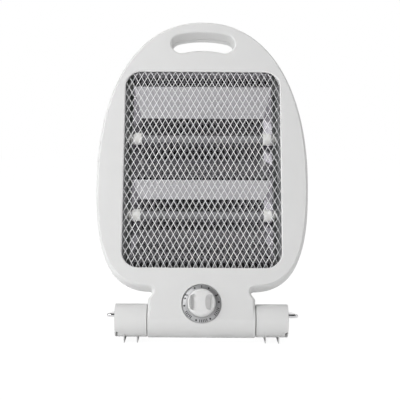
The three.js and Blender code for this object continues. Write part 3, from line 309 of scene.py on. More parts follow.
COIL = surface("oxidised_wire", (0.16, 0.15, 0.14), 0.45, spread=0.3, rough_spread=0.1, Metallic=1)
SLEEVE = surface("glass_braid", (0.85, 0.85, 0.82), 0.75, spread=0.06, bump=0.6, grain=2200)
QUARTZ = surface("milky_quartz", (0.5, 0.5, 0.52), 0.2, spread=0.04, scale=120, bump=0.08, grain=400,
                 stretch=(0.15, 1, 1), Transmission_Weight=0.55, IOR=1.46)

# ---------------------------------------------------------------- mesh code


def placed(name, data):
    """A new object in the scene."""
    thing = bpy.data.objects.new(name, data)
    bpy.context.scene.collection.objects.link(thing)
    return thing


def mesh_of(name, verts, faces):
    mesh = bpy.data.meshes.new(name)
    mesh.from_pydata([tuple(v) for v in verts], [], faces)
    return mesh


def outward(mesh, sharp=None):
    """Turns the faces outwards and, given an angle, smooths every edge but those sharper than that."""
    form = bmesh.new()
    form.from_mesh(mesh)
    bmesh.ops.recalc_face_normals(form, faces=form.faces)
    if sharp:
        for edge in form.edges:
            edge.smooth = edge.calc_face_angle(0) < math.radians(sharp)
        for face in form.faces:
            face.smooth = True
    form.to_mesh(mesh)
    form.free()


def loose(verts, faces):
    """A working object for booleans."""
    mesh = mesh_of("work", verts, faces)
    outward(mesh)
    return placed("work", mesh)


def finish_piece(thing, material, body, place, *, slot=None, replaces=(), sharp=35):
    """Puts a piece in its place, marks its sharp edges and lets it ride on a body."""
    mesh = thing.data
    mesh.transform(place)
    outward(mesh, sharp)
    mesh.materials.clear()
    mesh.materials.append(material)
    weighted = thing.modifiers.new("weighted", "WEIGHTED_NORMAL")
    weighted.keep_sharp = True
    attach(thing, body)
    if replaces:
        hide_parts(*replaces)
    return thing


def piece(name, verts, faces, material, body, place, **details):
    """A finished piece from points and faces."""
    mesh = mesh_of(name, verts, faces)
    mesh.validate()
    return finish_piece(placed(name, mesh), material, body, place, **details)


def carve(base, tools, operation="DIFFERENCE"):
    """Applies booleans of the tools to the base and removes the tools."""
    for tool in tools:
        step = base.modifiers.new("step", "BOOLEAN")
        step.operation = operation
        step.solver = "MANIFOLD"
        step.object = tool
    bpy.context.view_layer.update()
    graph = bpy.context.evaluated_depsgraph_get()
    mesh = bpy.data.meshes.new_from_object(base.evaluated_get(graph))
    base.modifiers.clear()
    base.data = mesh
    for tool in tools:
        bpy.data.objects.remove(tool)
    return base


def lofted(rows):
    """Closed faces through rows of points, each a ring of the same count."""
    count = len(rows[0])
    faces = []
    for row in range(len(rows) - 1):
        for i in range(count):
            a, b = row * count + i, row * count + (i + 1) % count
            faces.append((a, b, b + count, a + count))
    faces.append(tuple(range(count - 1, -1, -1)))
    last = (len(rows) - 1) * count
    faces.append(tuple(range(last, last + count)))
    return [spot for row in rows for spot in row], faces


def stack(rings):
    """A closed loft through rings of (x, z) points, each at its own depth y."""
    return lofted([[(x, y, z) for x, z in points] for points, y in rings])


def side_stack(rings):
    """The same through rings of (y, z) points, each at its own x."""
    verts, faces = stack(rings)
    return [(x, y, z) for y, x, z in verts], faces


def turned(profile, sides, axis="Y", x=0.0, y=0.0, z=0.0):
    """A turned form from (radius, distance along the axis) points; a closed profile makes a ring."""
    ring = profile[0] == profile[-1]
    points = profile[:-1] if ring else profile
    verts, rows = [], []
    for radius, along in points:
        if radius == 0:
            rows.append([len(verts)] * sides)
            spots = [(0, 0)]
        else:
            rows.append(list(range(len(verts), len(verts) + sides)))
            turns = [2 * math.pi * i / sides for i in range(sides)]
            spots = [(radius * math.cos(turn), radius * math.sin(turn)) for turn in turns]
        for u, v in spots:
            verts.append((x + u, y + along, z + v) if axis == "Y" else (x + along, y + u, z + v))
    faces = []
    pairs = list(zip(rows, rows[1:] + rows[:1])) if ring else list(zip(rows, rows[1:]))
    for low, high in pairs:
        for i in range(sides):
            j = (i + 1) % sides
            corners = [low[i], low[j], high[j], high[i]]
            face = [c for k, c in enumerate(corners) if c not in corners[:k]]
            if len(face) > 2:
                faces.append(tuple(face))
    if not ring:
        faces += [tuple(row) for row in (rows[0], rows[-1]) if row[0] != row[1]]
    return verts, faces


def box(x0, x1, y0, y1, z0, z1):
    return stack([([(x0, z0), (x1, z0), (x1, z1), (x0, z1)], y) for y in (y0, y1)])


def swept(path, radius, sides):
    """A round bar along a list of points, with closed ends."""
    points = [Vector(p) for p in path]
    rows = []
    across = None
    for i, spot in enumerate(points):
        along = (points[min(i + 1, len(points) - 1)] - points[max(i - 1, 0)]).normalized()
        if across is None:
            across = along.orthogonal().normalized()
        across = (across - along * across.dot(along)).normalized()
        up = along.cross(across)
        turns = [2 * math.pi * side / sides for side in range(sides)]
        rows.append([spot + across * (radius * math.cos(turn)) + up * (radius * math.sin(turn))
                     for turn in turns])
    return lofted(rows)


def joined(*parts):
    verts, faces = [], []
    for part_verts, part_faces in parts:
        base = len(verts)
        verts += list(part_verts)
        faces += [tuple(base + i for i in face) for face in part_faces]
    return verts, faces


def arc(x, z, radius, angles):
    return [(x + radius * math.cos(angle), z + radius * math.sin(angle)) for angle in angles]


def bezier(corners, steps):
    """Points of a quadratic or cubic curve."""
    points = []
    for i in range(steps + 1):
        t = i / steps
        level = [Vector(c) for c in corners]
        while len(level) > 1:
            level = [a.lerp(b, t) for a, b in zip(level, level[1:])]
        points.append(level[0])
    return points


def rounded_path(corners, reaches, steps):
    """A path with a curve at each corner that starts and ends the given reach from it."""
    corners = [Vector(c) for c in corners]
    path = [corners[0]]
    for i in range(1, len(corners) - 1):
        before = corners[i] + (corners[i - 1] - corners[i]).normalized() * reaches[i]
        after = corners[i] + (corners[i + 1] - corners[i]).normalized() * reaches[i]
        path += bezier([before, corners[i], after], steps)
    return [*path, corners[-1]]


def inset(points, distance):
    """Moves a closed anticlockwise outline inwards, with mitred corners."""
    moved = []
    for i, (x, z) in enumerate(points):
        before = Vector(points[i - 1])
        after = Vector(points[(i + 1) % len(points)])
        spot = Vector((x, z))
        into, out = (spot - before).normalized(), (after - spot).normalized()
        first, second = Vector((-into.y, into.x)), Vector((-out.y, out.x))
        mitre = (first + second).normalized()
        moved.append(tuple(spot + mitre * (distance / mitre.dot(first))))
    return moved


# ---------------------------------------------------------------- housing


def housing_outline(distance):
    """The housing's outline, moved inwards."""
    low_pull, high_pull = WAIST_PULL_ZS
    waist = bezier([(NECK_HALF, WAIST_LOW_Z), (NECK_HALF, low_pull), (NECK_WAIST, high_pull),
                    (NECK_WAIST, WAIST_Z)], WAIST_STEPS)
    out, up = FILLET_PULL
    corner = (NECK_WAIST + NECK_FILLET, UNDERSIDE_Z)
    fillet = bezier([(NECK_WAIST, WAIST_Z), (NECK_WAIST, up), (NECK_WAIST + out, UNDERSIDE_Z), corner],
                    WAIST_STEPS)
    flank = bezier([corner, CHIN, (HALF_WIDTH, FLANK_Z), (HALF_WIDTH, WIDEST_Z)], FLANK_STEPS)
    crown = bezier([(HALF_WIDTH, WIDEST_Z), (HALF_WIDTH, SHOULDER_Z), (CROWN_REACH, TOP_Z), (0, TOP_Z)],
                   CROWN_STEPS)
    right = [(NECK_HALF, -NECK_FILLET)]
    right += [tuple(p) for p in waist + fillet[1:] + flank[1:] + crown[1:]]
    left = [(-x, z) for x, z in right[:-1]]
    return inset(right + left[::-1], distance)


def housing_form(distance):
    """The housing's outer form, or its hollow this far inside, without the parting groove."""
    front = [(housing_outline(distance + step_in), FRONT + distance + deep)
             for step_in, deep in FRONT_PROFILE]
    groove = 0 if distance else GROOVE
    parting = [(housing_outline(distance + share * groove), SEAM + along) for share, along in GROOVE_PROFILE]
    rear = []
    radius = REAR_EDGE - distance / 2
    for i in range(EDGE_STEPS + 1):
        angle = math.pi / 2 * (1 - i / EDGE_STEPS)
        ring = housing_outline(distance + radius * (1 - math.sin(angle)))
        rear.append((ring, REAR - distance - radius * (1 - math.cos(angle))))
    form = loose(*stack(front + parting + rear))
    half = NECK_HALF - distance
    radius = NECK_RADIUS - distance
    soft = NECK_SOFT
    bevel = soft * 0.3
    foot_profile = [(0, -half), (radius - soft, -half), (radius - bevel, bevel - half), (radius, soft - half),
                    (radius, half - soft), (radius - bevel, half - bevel), (radius - soft, half), (0, half)]
    return carve(form, [loose(*turned(foot_profile, 96, "X"))], "UNION")


def slot_outline(outset):
    """The arched slot's outline, moved outwards."""
    reach = SLOT_HALF - SLOT_HEIGHT / 2
    bend = reach * reach / (2 * SLOT_ARCH)
    middle = SLOT_TOP_Z - SLOT_HEIGHT / 2
    spread = math.asin(reach / bend)
    radius = SLOT_HEIGHT / 2 + outset
    steps = SLOT_STEPS

    def at(angle, r):
        return r * math.sin(angle), middle - bend + r * math.cos(angle)

    points = [at(spread * (1 - 2 * i / steps), bend + radius) for i in range(steps + 1)]
    left_end = [math.pi / 2 + spread + math.pi * i / steps for i in range(1, steps)]
    points += arc(*at(-spread, bend), radius, left_end)
    points += [at(spread * (2 * i / steps - 1), bend - radius) for i in range(steps + 1)]
    right_end = [-math.pi / 2 - spread + math.pi * i / steps for i in range(1, steps)]
    points += arc(*at(spread, bend), radius, right_end)
    return points


def slot_tool():
    """The slot with its rounded mouths and the parting groove."""

    def mouth(y, into):
        rings = []
        for i in range(EDGE_STEPS + 1):
            depth = SLOT_RIM * i / EDGE_STEPS
            flare = SLOT_RIM - math.sqrt(SLOT_RIM**2 - (SLOT_RIM - depth) ** 2)
            rings.append((slot_outline(flare), y + into * depth))
        return rings

    front = mouth(FRONT, 1)
    rear = mouth(REAR, -1)[::-1]
    parting = [(slot_outline(share * GROOVE), SEAM + along) for share, along in GROOVE_PROFILE]
    rings = [(front[0][0], FRONT - CUT), *front, *parting, *rear, (rear[-1][0], REAR + CUT)]
    return loose(*stack(rings))


def rounded_rectangle(half, low, high, corner, steps=12):
    points = []
    for x, z, start in ((half - corner, low + corner, -90), (half - corner, high - corner, 0),
                        (corner - half, high - corner, 90), (corner - half, low + corner, 180)):
        points += arc(x, z, corner, [math.radians(start + 90 * i / steps) for i in range(steps + 1)])
    return points


def window_outline(outset):
    return rounded_rectangle(WINDOW_HALF + outset, WINDOW_LOW_Z - outset, WINDOW_HIGH_Z + outset,
                             WINDOW_CORNER + outset)


def window_block(outset, y0, y1):
    return loose(*stack([(window_outline(outset), y) for y in (y0, y1)]))


def window_tool():
    """The window with its rounded lip."""
    rings = [(window_outline(WINDOW_LIP), FRONT - CUT)]
    for i in range(LIP_STEPS + 1):
        angle = math.pi / 2 * i / LIP_STEPS
        rings.append((window_outline(WINDOW_LIP * (1 - math.sin(angle))),
                      FRONT + WINDOW_LIP * (1 - math.cos(angle))))
    rings.append((window_outline(0), INNER_FRONT + CUT))
    return loose(*stack(rings))


def dial_tool():
    """The dial's seat with its rounded lip, and the well behind it."""
    seat = DIAL_RADIUS + GAP
    profile = [(0, FRONT - CUT), (seat + DIAL_LIP, FRONT - CUT), (seat + DIAL_LIP, FRONT)]
    profile += [(seat + DIAL_LIP * (1 - math.sin(a)), FRONT + DIAL_LIP * (1 - math.cos(a)))
                for a in (math.pi / 8, math.pi / 4, 3 * math.pi / 8, math.pi / 2)]
    well, depth = DIAL_WELL
    profile += [(seat, INNER_FRONT), (well, INNER_FRONT), (well, INNER_FRONT + depth),
                (0, INNER_FRONT + depth)]
    return loose(*turned(profile, 96, "Y", 0, 0, DIAL_Z))


def slot_wall():
    return loose(*stack([(slot_outline(WALL), INNER_FRONT - GAP), (slot_outline(WALL), INNER_REAR + GAP)]))


def slab(y0, y1):
    return loose(*box(-HALF_WIDTH - FAR, HALF_WIDTH + FAR, y0, y1, -NECK_RADIUS - FAR, TOP_Z + FAR))


def rod(radius, y0, y1, x, z, sides=24):
    return loose(*turned([(0, y0), (radius, y0), (radius, y1), (0, y1)], sides, "Y", x, 0, z))


def side_rod(radius, x0, x1, sides, y=0.0, z=0.0):
    return loose(*turned([(0, x0), (radius, x0), (radius, x1), (0, x1)], sides, "X", 0, y, z))


def hinge_bore():
    return side_rod(HINGE_BORE, -NECK_HALF - FAR, NECK_HALF + FAR, 48)


def skin():
    return carve(housing_form(0), [housing_form(WALL)])


def front_shell():
    flange = window_block(GUARD_SEAT + FLANGE, INNER_FRONT - GAP, FLANGE_END)
    carve(flange, [window_block(GUARD_SEAT, FRONT, FLANGE_END + CUT)])
    bosses = [rod(FRONT_BOSS, INNER_FRONT - GAP, SEAM + GAP / 2, x, z) for x, z in CASE_SCREWS]
    shell = carve(skin(), [slot_wall(), flange, *bosses], "UNION")
    holes = [rod(PILOT_RADIUS, SEAM - PILOT_DEPTH, REAR, x, z, 16) for x, z in CASE_SCREWS]
    behind = slab(SEAM - GAP / 2, NECK_RADIUS + FAR)
    carve(shell, [window_tool(), dial_tool(), slot_tool(), hinge_bore(), *holes, behind])
    return finish_piece(shell, WHITE, "housing", LEANING, slot="white_plastic", replaces=("front_shell",))


def vent(x, z):
    outline = []
    for centre, start in ((VENT_REACH, -90), (-VENT_REACH, 90)):
        outline += arc(x + centre, z, VENT_RADIUS, [math.radians(start + 180 * i / 8) for i in range(9)])
    longer, higher, depth = VENT_FLARE
    flared = [(px + (longer if px > x else -longer), z + (pz - z) * higher) for px, pz in outline]
    return loose(*stack([(outline, INNER_REAR - CUT), (outline, REAR - depth), (flared, REAR),
                         (flared, REAR + CUT)]))


def rear_shell():
    bosses = [rod(REAR_BOSS, SEAM - GAP / 2, INNER_REAR + GAP, x, z) for x, z in CASE_SCREWS]
    shell = carve(skin(), [slot_wall(), *bosses], "UNION")
    vents = [vent(side * VENT_X, top - VENT_PITCH * row)
             for top in VENT_TOPS for row in range(VENT_ROWS) for side in (1, -1)]
    radius, depth = SCREW_SEAT
    seats = [rod(radius, REAR - depth, REAR + CUT, x, z) for x, z in CASE_SCREWS]
    holes = [rod(PILOT_RADIUS, FRONT, REAR + CUT, x, z, 16) for x, z in CASE_SCREWS]
    radius, x, z = GLAND
    gland_hole = rod(radius, INNER_REAR - CUT, REAR + CUT, x, z, 32)
    ahead = slab(FRONT - FAR, SEAM + GAP / 2)
    carve(shell, [*vents, *seats, *holes, gland_hole, slot_tool(), hinge_bore(), ahead])
    return finish_piece(shell, WHITE, "housing", LEANING, slot="white_plastic", replaces=("rear_shell",))


# ---------------------------------------------------------------- guard


def past_edge(x, z, aside=0.0, up=0.0):
    """Distance past the window's edge, negative inside, for a window moved sideways and up."""
    u = abs(x - aside) - (WINDOW_HALF - WINDOW_CORNER)
    v = abs(z - WINDOW_MIDDLE_Z - up) - (WINDOW_HALF_HEIGHT - WINDOW_CORNER)
    return math.hypot(max(u, 0), max(v, 0)) + min(max(u, v), 0) - WINDOW_CORNER


def strand(start_x, side, depth):
    """The points of one slanting strand, or none where it misses the window."""
    reach = int(WINDOW_HALF_HEIGHT / math.cos(SLANT) + STRAND_SPARE)
    path = []
    for step in range(-reach, reach + 1):
        x = start_x + side * step * math.sin(SLANT)
        z = WINDOW_MIDDLE_Z + step * math.cos(SLANT)
        if past_edge(x, z) > PAN_REACH:
            continue
        bend = min(max(past_edge(x, z, *PAN_SHIFT) + PAN_EDGE, 0) * PAN_SLOPE, PAN_DEPTH)
        path.append((bend, (x, depth + bend, z)))
    if len(path) < 3:
        return []
    return [spot for k, (bend, spot) in enumerate(path)
            if k in (0, len(path) - 1) or bend or path[k - 1][0] or path[k + 1][0]]


def guard():
    """Crossing strands that bend back towards the rim of a shallow pan."""
    per_side = math.ceil((WINDOW_HALF + WINDOW_HALF_HEIGHT * math.tan(SLANT)) / MESH_PITCH_X) + 2
    strands = []
    for side, depth in zip((-1, 1), LAYER_YS):
        for i in range(-per_side, per_side + 1):
            path = strand((i + 0.5) * MESH_PITCH_X, side, depth)
            if path:
                strands.append(swept(path, STRAND_RADIUS, 8))
    inner, outer = RIM_OUTSETS
    front, rear = RIM_YS
    rim = window_block(outer, front, rear)
    carve(rim, [window_block(inner, front - CUT, rear + CUT)])
    verts = [tuple(v.co) for v in rim.data.vertices]
    faces = [tuple(p.vertices) for p in rim.data.polygons]
    bpy.data.objects.remove(rim)
    return piece("guard_strands", *joined(*strands, (verts, faces)), GUARD, "housing", LEANING,
                 slot="chrome_wire", replaces=("guard_mesh",))


# ---------------------------------------------------------------- tubes


def tube(level, z):
    shoulder = TUBE_RADIUS - TUBE_EDGE
    profile = [(TUBE_BORE, -TUBE_HALF), (shoulder, -TUBE_HALF), (TUBE_RADIUS, TUBE_EDGE - TUBE_HALF),
               (TUBE_RADIUS, TUBE_HALF - TUBE_EDGE), (shoulder, TUBE_HALF), (TUBE_BORE, TUBE_HALF),
               (TUBE_BORE, -TUBE_HALF)]
    piece(f"{level}_tube", *turned(profile, 48, "X", 0, 0, z), QUARTZ, "housing", LEANING, slot="quartz",
          replaces=(f"{level}_quartz_tube",))


def coil(level, z):
    """A wound wire with a straight tail at each end."""
    steps = COIL_TURNS * TURN_STEPS
    tail, end = COIL_TAILS
    path = [(-TUBE_HALF + end, 0, z), (-COIL_HALF - tail, 0, z)]
    for i in range(steps + 1):
        turn = 2 * math.pi * i / TURN_STEPS
        path.append((-COIL_HALF + 2 * COIL_HALF * i / steps, COIL_RADIUS * math.cos(turn),
                     z + COIL_RADIUS * math.sin(turn)))
    path += [(COIL_HALF + tail, 0, z), (TUBE_HALF - end, 0, z)]
    piece(f"{level}_spiral", *swept(path, COIL_WIRE, 6), COIL, "housing", LEANING,
          slot="heating_wire", replaces=(f"{level}_heating_coil",))


def ceramic_cap(level, name, side, z):
    profile = [(radius, side * along) for radius, along in CAP_PROFILE]
    piece(f"{level}_{name}_ceramic", *turned(profile, 40, "X", 0, 0, z), CERAMIC, "housing", LEANING,
          slot="steatite", replaces=(f"{level}_{name}_cap",))


def tubes():
    for level, z in TUBE_ZS.items():
        tube(level, z)
        coil(level, z)
        ceramic_cap(level, "left", -1, z)
        ceramic_cap(level, "right", 1, z)


# ---------------------------------------------------------------- dial and knob


def ring_face(radius):
    """Place along y of the crowned dial ring at a radius."""
    share = max(radius - KNOB_RADIUS, 0) / (DIAL_RADIUS - KNOB_RADIUS)
    return DIAL_FACE - RING_RISE + RING_FALL * share**RING_CURVE


MARK_SLOPE = ring_face(MARK_RADIUS + 0.5) - ring_face(MARK_RADIUS - 0.5)


def mark(angle, corners):
    """A thin block on the ring with the given (outwards, sideways) corners."""
    turn = math.radians(angle)
    way, across = Vector((math.sin(turn), math.cos(turn))), Vector((math.cos(turn), -math.sin(turn)))
    rows = []
    for rise in MARK_SPAN:
        spots = [(out, way * (MARK_RADIUS + out) + across * aside) for out, aside in corners]
        rows.append([(spot.x, ring_face(MARK_RADIUS) + MARK_SLOPE * out + rise, DIAL_Z + spot.y)
                     for out, spot in spots])
    return lofted(rows)


def figure(angle, text):
    """A number that stands on the ring with its foot towards the knob."""
    turn = math.radians(angle)
    letters = bpy.data.curves.new(f"dial_{text}", "FONT")
    letters.body = text
    letters.size = FIGURE_SIZE * MM
    letters.offset = FIGURE_WEIGHT * MM
    letters.extrude = FIGURE_DEPTH * MM
    letters.align_x = "CENTER"
    letters.align_y = "CENTER"
    letters.materials.append(MARKING)
    thing = placed(f"dial_{text}", letters)
    spot = Vector((MARK_RADIUS * math.sin(turn), ring_face(MARK_RADIUS) - FIGURE_RISE,
                   DIAL_Z + MARK_RADIUS * math.cos(turn)))
    place = LEANING @ Matrix.Translation(spot) @ Matrix.Scale(1 / MM, 4)
    upright = place @ Matrix.Rotation(math.pi / 2, 4, "X") @ Matrix.Rotation(-turn, 4, "Z")
    thing.matrix_world = upright @ Matrix.Rotation(-math.atan(MARK_SLOPE), 4, "X")
    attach(thing, "housing")


def dial():
    """A grey ring that falls away from the knob, with ticks, dots and plain numbers."""
    inner_soft, outer_soft = RING_SOFT
    profile = [(DIAL_BORE, DIAL_FACE), (RING_INSIDE, DIAL_FACE),
               (RING_INSIDE, ring_face(KNOB_RADIUS) + inner_soft)]
    profile += [(radius, ring_face(radius)) for radius in RING_RADII]
    profile += [(DIAL_RADIUS, ring_face(DIAL_RADIUS) + outer_soft), (DIAL_RADIUS, INNER_FRONT + GAP),
                (DIAL_FLANGE, INNER_FRONT + GAP), (DIAL_FLANGE, DIAL_BACK), (DIAL_BORE, DIAL_BACK),
                (DIAL_BORE, DIAL_FACE)]
    piece("dial_ring", *turned(profile, 96, "Y", 0, 0, DIAL_Z), RING, "housing", LEANING, slot="grey_plastic",
          replaces=("dial_plate",))
    turns = [math.tau * k / 12 for k in range(12)]
    dot = [(DOT_RADIUS * math.sin(turn), DOT_RADIUS * math.cos(turn)) for turn in turns]
    marks = [mark(angle, dot) for angle in DOT_ANGLES]
    marks += [mark(centre + step, TICK) for centre in SCALE_ANGLES for step in TICK_ANGLES]
    piece("dial_ticks", *joined(*marks), MARKING, "housing", LEANING)
    for angle, text in FIGURES.items():
        figure(angle, text)


def scoop(side):
    """A finger scoop: a ramp down from the grip bar and a steep wall near the rim."""

    def squarish(value):
        return math.copysign(abs(value) ** SCOOP_POWER, value)

    rings = []
    for i in range(-1, SCOOP_LEVELS + 1):
        share = max(i, 0) / SCOOP_LEVELS
        near = SCOOP_NEAR[0] + SCOOP_NEAR[1] * share
        far = SCOOP_FAR[0] - SCOOP_FAR[1] * share**2
        half = SCOOP_HALF[0] - SCOOP_HALF[1] * share**2
        turns = [math.tau * k / SCOOP_POINTS for k in range(SCOOP_POINTS)]
        outline = [(side * ((near + far) / 2 + (far - near) / 2 * squarish(math.cos(turn))),
                    DIAL_Z + half * squarish(math.sin(turn))) for turn in turns]
        rings.append((outline, KNOB_FRONT + (SCOOP_DEPTH * share if i >= 0 else -CUT)))
    return loose(*stack(rings))


def knob():
    """A rounded cap with a grip bar left between two scoops."""
    turns = [math.pi / 2 * i / KNOB_STEPS for i in range(KNOB_STEPS + 1)]
    rim = [(KNOB_RADIUS - KNOB_EDGE * (1 - math.sin(turn)), KNOB_FRONT + KNOB_EDGE * (1 - math.cos(turn)))
           for turn in turns]
    profile = [(0, KNOB_FRONT), *rim, (KNOB_RADIUS, KNOB_BACK - KNOB_BEVEL),
               (KNOB_RADIUS - KNOB_BEVEL, KNOB_BACK), (KNOB_STEM, KNOB_BACK), (KNOB_STEM, INNER_FRONT),
               (0, INNER_FRONT)]
    cap = loose(*turned(profile, 96, "Y", 0, 0, DIAL_Z))
    radius, depth = SHAFT_BORE
    carve(cap, [scoop(-1), scoop(1), rod(radius, KNOB_FRONT + depth, 0, 0, DIAL_Z, 32)])
    finish_piece(cap, KNOB_WHITE, "knob", LEANING, slot="white_plastic", replaces=("control_knob",))
    cap.name = "knob_cap"


# ---------------------------------------------------------------- stand


def rib(x):
    low_y, high_y = RIB_FRONT_YS
    top = RIB_TOP - FOOT_RADIUS
    web = [(low_y, FLOOR_Z), (TONGUE_END_Y, FLOOR_Z), (TONGUE_END_Y, top), (0, top),
           (high_y, -FOOT_RADIUS / 2)]
    return loose(*side_stack([(inset(web, step_in), x + share * RIB_THICK / 2)
                              for step_in, share in RIB_PROFILE]))


def foot(side):
    """A round hub that runs out into a flat tongue on two ribs."""
    name = "left" if side < 0 else "right"
    sweep = 1.5 * math.pi - FOOT_START
    outline = arc(0, 0, FOOT_RADIUS, [FOOT_START + sweep * i / FOOT_STEPS for i in range(FOOT_STEPS + 1)])
    tip = (TONGUE_END_Y, TONGUE_TIP - FOOT_RADIUS)
    blend = bezier([tip, (FOOT_RADIUS, TONGUE_PULL - FOOT_RADIUS), outline[0]], 16)
    outline += [(TONGUE_END_Y, -FOOT_RADIUS), *[tuple(p) for p in blend[:-1]]]
    rings = [(inset(outline, step_in), FOOT_INNER + along) for step_in, along in FOOT_BEVEL]
    rings += [(inset(outline, step_in), FOOT_OUTER - along) for step_in, along in FOOT_BEVEL[::-1]]
    body = loose(*side_stack(rings))

    spigot = loose(*turned(SPIGOT_PROFILE, 64, "X"))
    carve(body, [spigot, *[rib(x) for x in RIB_XS]], "UNION")
    radius, x0, x1 = WIRE_SOCKET
    socket = side_rod(radius, x0, x1, 32, WIRE_START[0], WIRE_EXIT_Z)
    pilot = side_rod(PILOT_RADIUS, *FOOT_PILOT, 16)
    (x0, x1), y1, (z0, z1) = NOTCH
    notch = loose(*box(FOOT_OUTER + x0, FOOT_OUTER + x1, -FOOT_RADIUS - CUT, y1, z0, z1))
    carve(body, [socket, pilot, notch])
    if side < 0:
        body.data.transform(Matrix.Scale(-1, 4, (1, 0, 0)))
        body.data.flip_normals()
    finish_piece(body, WHITE, "stand", UPRIGHT, slot="white_plastic", replaces=(f"{name}_foot",))
    body.name = f"{name}_hub"


def wire():
    y, z = WIRE_START
    floor_z = WIRE_RADIUS + FLOOR_Z
    left, right = WIRE_ARM_XS
    bend_y, bend_z = WIRE_BEND
    corners = [(-WIRE_END_X, y, WIRE_EXIT_Z), (-left, y, z), (-left, bend_y, bend_z),
               (-left, LOOP_LENGTH, floor_z), (right, LOOP_LENGTH, floor_z), (right, bend_y, bend_z),
               (right, y, z), (WIRE_END_X, y, WIRE_EXIT_Z)]
    path = rounded_path(corners, [*WIRE_BENDS, *WIRE_BENDS[::-1]], 12)
    piece("wire_loop", *swept(path, WIRE_RADIUS, 32), CHROME, "stand", UPRIGHT, slot="chrome_wire",
          replaces=("wire_stand",), sharp=50)


# ---------------------------------------------------------------- screws


def screws():
    """Round heads with a cross recess in place of the plain case screws."""
    long, short, depth = CROSS
    for i, (x, z) in enumerate(CASE_SCREWS):
        screw = loose(*turned(SCREW_PROFILE, 32, "Y", x, 0, z))
        carve(screw, [loose(*box(x - a, x + a, REAR - depth, REAR + CUT, z - b, z + b))
                      for a, b in ((long, short), (short, long))])
        finish_piece(screw, ZINC, "housing", LEANING, slot="zinc_steel", replaces=(f"case_screw_{i + 1}",))
        screw.name = f"back_screw_{i + 1}"


# ---------------------------------------------------------------- stage

ROOM = 0.51  # level of the even light
# (height, level) in reflections: a pale floor, a dark ceiling and one lighter strip in it
REFLECTED = [(0, 0.9), (0.57, 0.9), (0.65, 0.02), (0.8, 0.01), (0.95, 0.01), (0.966, 0.15), (0.981, 0.15),
             (0.992, 0.01), (1, 0.01)]
LIT_Z = 0.18  # height in metres at which the lamps aim
FLOOR_HALF = 4  # in metres
FLOOR_TONE = 0.93  # what lights the object from below
FLOOR_GLOW = 1.06  # the even tone that the camera sees
GLOW_SHARE = 0.9  # of that tone in the picture; the rest shows the shadow
CAMERA_PLACE = (-0.0025, -1.3926, 0.2785)
CAMERA_LENS = 105
CAMERA_DOWN = 4.9  # degrees
CAMERA_ROLL = 0.34  # degrees


def world():
    """White behind everything; an even pale room for light, with a dark ceiling in reflections."""
    bpy.context.scene.world = bpy.data.worlds.new("studio")
    bpy.context.scene.world.use_nodes = True
    tree = bpy.context.scene.world.node_tree
    tree.nodes.clear()
    seen = node(tree, "ShaderNodeBackground", Color=(1, 1, 1, 1), Strength=1)
    room = node(tree, "ShaderNodeBackground", Color=(1, 1, 1, 1), Strength=ROOM)
    mirrored = node(tree, "ShaderNodeBackground", Strength=1)
    coords = tree.nodes.new("ShaderNodeTexCoord")
    split = tree.nodes.new("ShaderNodeSeparateXYZ")
    height = node(tree, "ShaderNodeMapRange", From_Min=-1)
    ramp = tree.nodes.new("ShaderNodeValToRGB")
    first, *inner, last = REFLECTED
    for element, (place, _) in zip(ramp.color_ramp.elements, (first, last)):
        element.position = place
    for place, _ in inner:
        ramp.color_ramp.elements.new(place)
    for element, (_, level) in zip(ramp.color_ramp.elements, REFLECTED):
        element.color = (level, level, level, 1)
    path = tree.nodes.new("ShaderNodeLightPath")
    by_gloss = tree.nodes.new("ShaderNodeMixShader")
    by_camera = tree.nodes.new("ShaderNodeMixShader")
    out = tree.nodes.new("ShaderNodeOutputWorld")
    for source, target in (
        (coords.outputs["Generated"], split.inputs[0]),
        (split.outputs["Z"], height.inputs["Value"]),
        (height.outputs["Result"], ramp.inputs["Fac"]),
        (ramp.outputs["Color"], mirrored.inputs["Color"]),
        (path.outputs["Is Glossy Ray"], by_gloss.inputs["Fac"]),
        (room.outputs[0], by_gloss.inputs[1]),
        (mirrored.outputs[0], by_gloss.inputs[2]),
        (path.outputs["Is Camera Ray"], by_camera.inputs["Fac"]),
        (by_gloss.outputs[0], by_camera.inputs[1]),
        (seen.outputs[0], by_camera.inputs[2]),
        (by_camera.outputs[0], out.inputs["Surface"]),
    ):
        tree.links.new(source, target)


def floor():
    """A pale floor that the camera sees nearly white, with the object's shadow left in it."""
    half = FLOOR_HALF
    corners = [(-half, -half, 0), (half, -half, 0), (half, half, 0), (-half, half, 0)]
    mesh = mesh_of("floor", corners, [(0, 1, 2, 3)])
    thing = placed("floor", mesh)
    material = bpy.data.materials.new("floor")
    material.use_nodes = True
    tree = material.node_tree
    tree.nodes.clear()
    lit = node(tree, "ShaderNodeBsdfDiffuse", Color=(FLOOR_TONE, FLOOR_TONE, FLOOR_TONE, 1))
    shown = node(tree, "ShaderNodeEmission", Color=(1, 1, 1, 1), Strength=FLOOR_GLOW)
    path = tree.nodes.new("ShaderNodeLightPath")
    share = tree.nodes.new("ShaderNodeMath")
    share.operation = "MULTIPLY"
    share.inputs[1].default_value = GLOW_SHARE
    mix = tree.nodes.new("ShaderNodeMixShader")
    out = tree.nodes.new("ShaderNodeOutputMaterial")
    tree.links.new(path.outputs["Is Camera Ray"], share.inputs[0])
    tree.links.new(share.outputs[0], mix.inputs["Fac"])
    tree.links.new(lit.outputs[0], mix.inputs[1])
    tree.links.new(shown.outputs[0], mix.inputs[2])
    tree.links.new(mix.outputs[0], out.inputs["Surface"])
    mesh.materials.append(material)


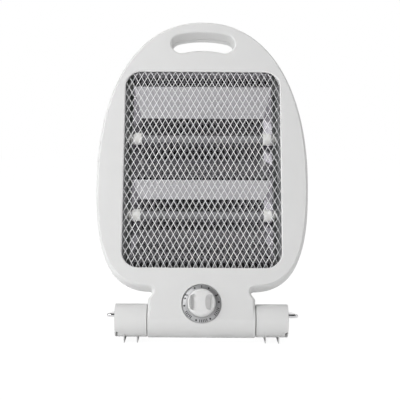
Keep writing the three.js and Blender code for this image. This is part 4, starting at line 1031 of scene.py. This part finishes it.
def lamp(name, azimuth, elevation, distance, size, power, card=False):
    """A soft box, or a card seen only in reflections, that faces the object; azimuth 0 is in front."""
    light = bpy.data.lights.new(name, "AREA")
    light.shape = "RECTANGLE"
    light.size, light.size_y = size
    light.energy = power
    thing = placed(name, light)
    a, e = math.radians(azimuth), math.radians(elevation)
    way = Vector((math.sin(a) * math.cos(e), -math.cos(a) * math.cos(e), math.sin(e)))
    thing.location = Vector((0, 0, LIT_Z)) + way * distance
    thing.rotation_euler = way.to_track_quat("Z", "Y").to_euler()
    thing.visible_glossy = card
    thing.visible_diffuse = not card


def camera():
    """The photograph's view, a little down and slightly rolled."""
    data = bpy.data.cameras.new("camera")
    data.sensor_fit = "HORIZONTAL"
    data.sensor_width = 36
    data.lens = CAMERA_LENS
    thing = placed("camera", data)
    thing.location = CAMERA_PLACE
    pitch = Matrix.Rotation(math.radians(90 - CAMERA_DOWN), 4, "X")
    roll = Matrix.Rotation(math.radians(CAMERA_ROLL), 4, "Z")
    thing.rotation_euler = (pitch @ roll).to_euler()
    bpy.context.scene.camera = thing


# ---------------------------------------------------------------- assembly

FINISHES = {
    MIRROR: ("reflector", "left_reflector_end", "right_reflector_end"),
    SLEEVE: ("right_jumper_lead", "upper_feed_lead", "lower_feed_lead"),
    BLACK: ("rotary_switch", "tilt_switch_cradle"),
    WHITE: ("terminal_block", "cord_gland"),
    GREY: ("left_hinge_bush", "right_hinge_bush"),
    ZINC: ("heat_shield", "left_tube_bracket", "right_tube_bracket", "switch_shaft", "tilt_switch_weight",
           "left_hinge_washer", "right_hinge_washer", "left_hinge_screw", "right_hinge_screw",
           "reflector_screw_1", "reflector_screw_2", "reflector_screw_3", "reflector_screw_4"),
}
for material, names in FINISHES.items():
    for name in names:
        for slot in nodes[name].material_slots:
            slot.material = material

front_shell().name = "front_moulding"
rear_shell().name = "rear_moulding"
guard()
tubes()
dial()
knob()
foot(-1)
foot(1)
wire()
screws()

world()
floor()
lamp("key", -50, 32, 1.5, (0.34, 0.34), 6.6)
lamp("left_wall", -66, 8, 2.2, (1.5, 0.8), 6)
lamp("low_front", -18, 4, 2.5, (1.6, 0.5), 7)
lamp("table_light", 180, 56, 1.4, (0.9, 0.9), 7)
lamp("left_card", -68, 40, 2.2, (2.6, 1.5), 32, card=True)
lamp("right_card", 108, 42, 2.2, (2, 1.6), 12, card=True)
camera()

scene = bpy.context.scene
scene.view_settings.view_transform = "Standard"
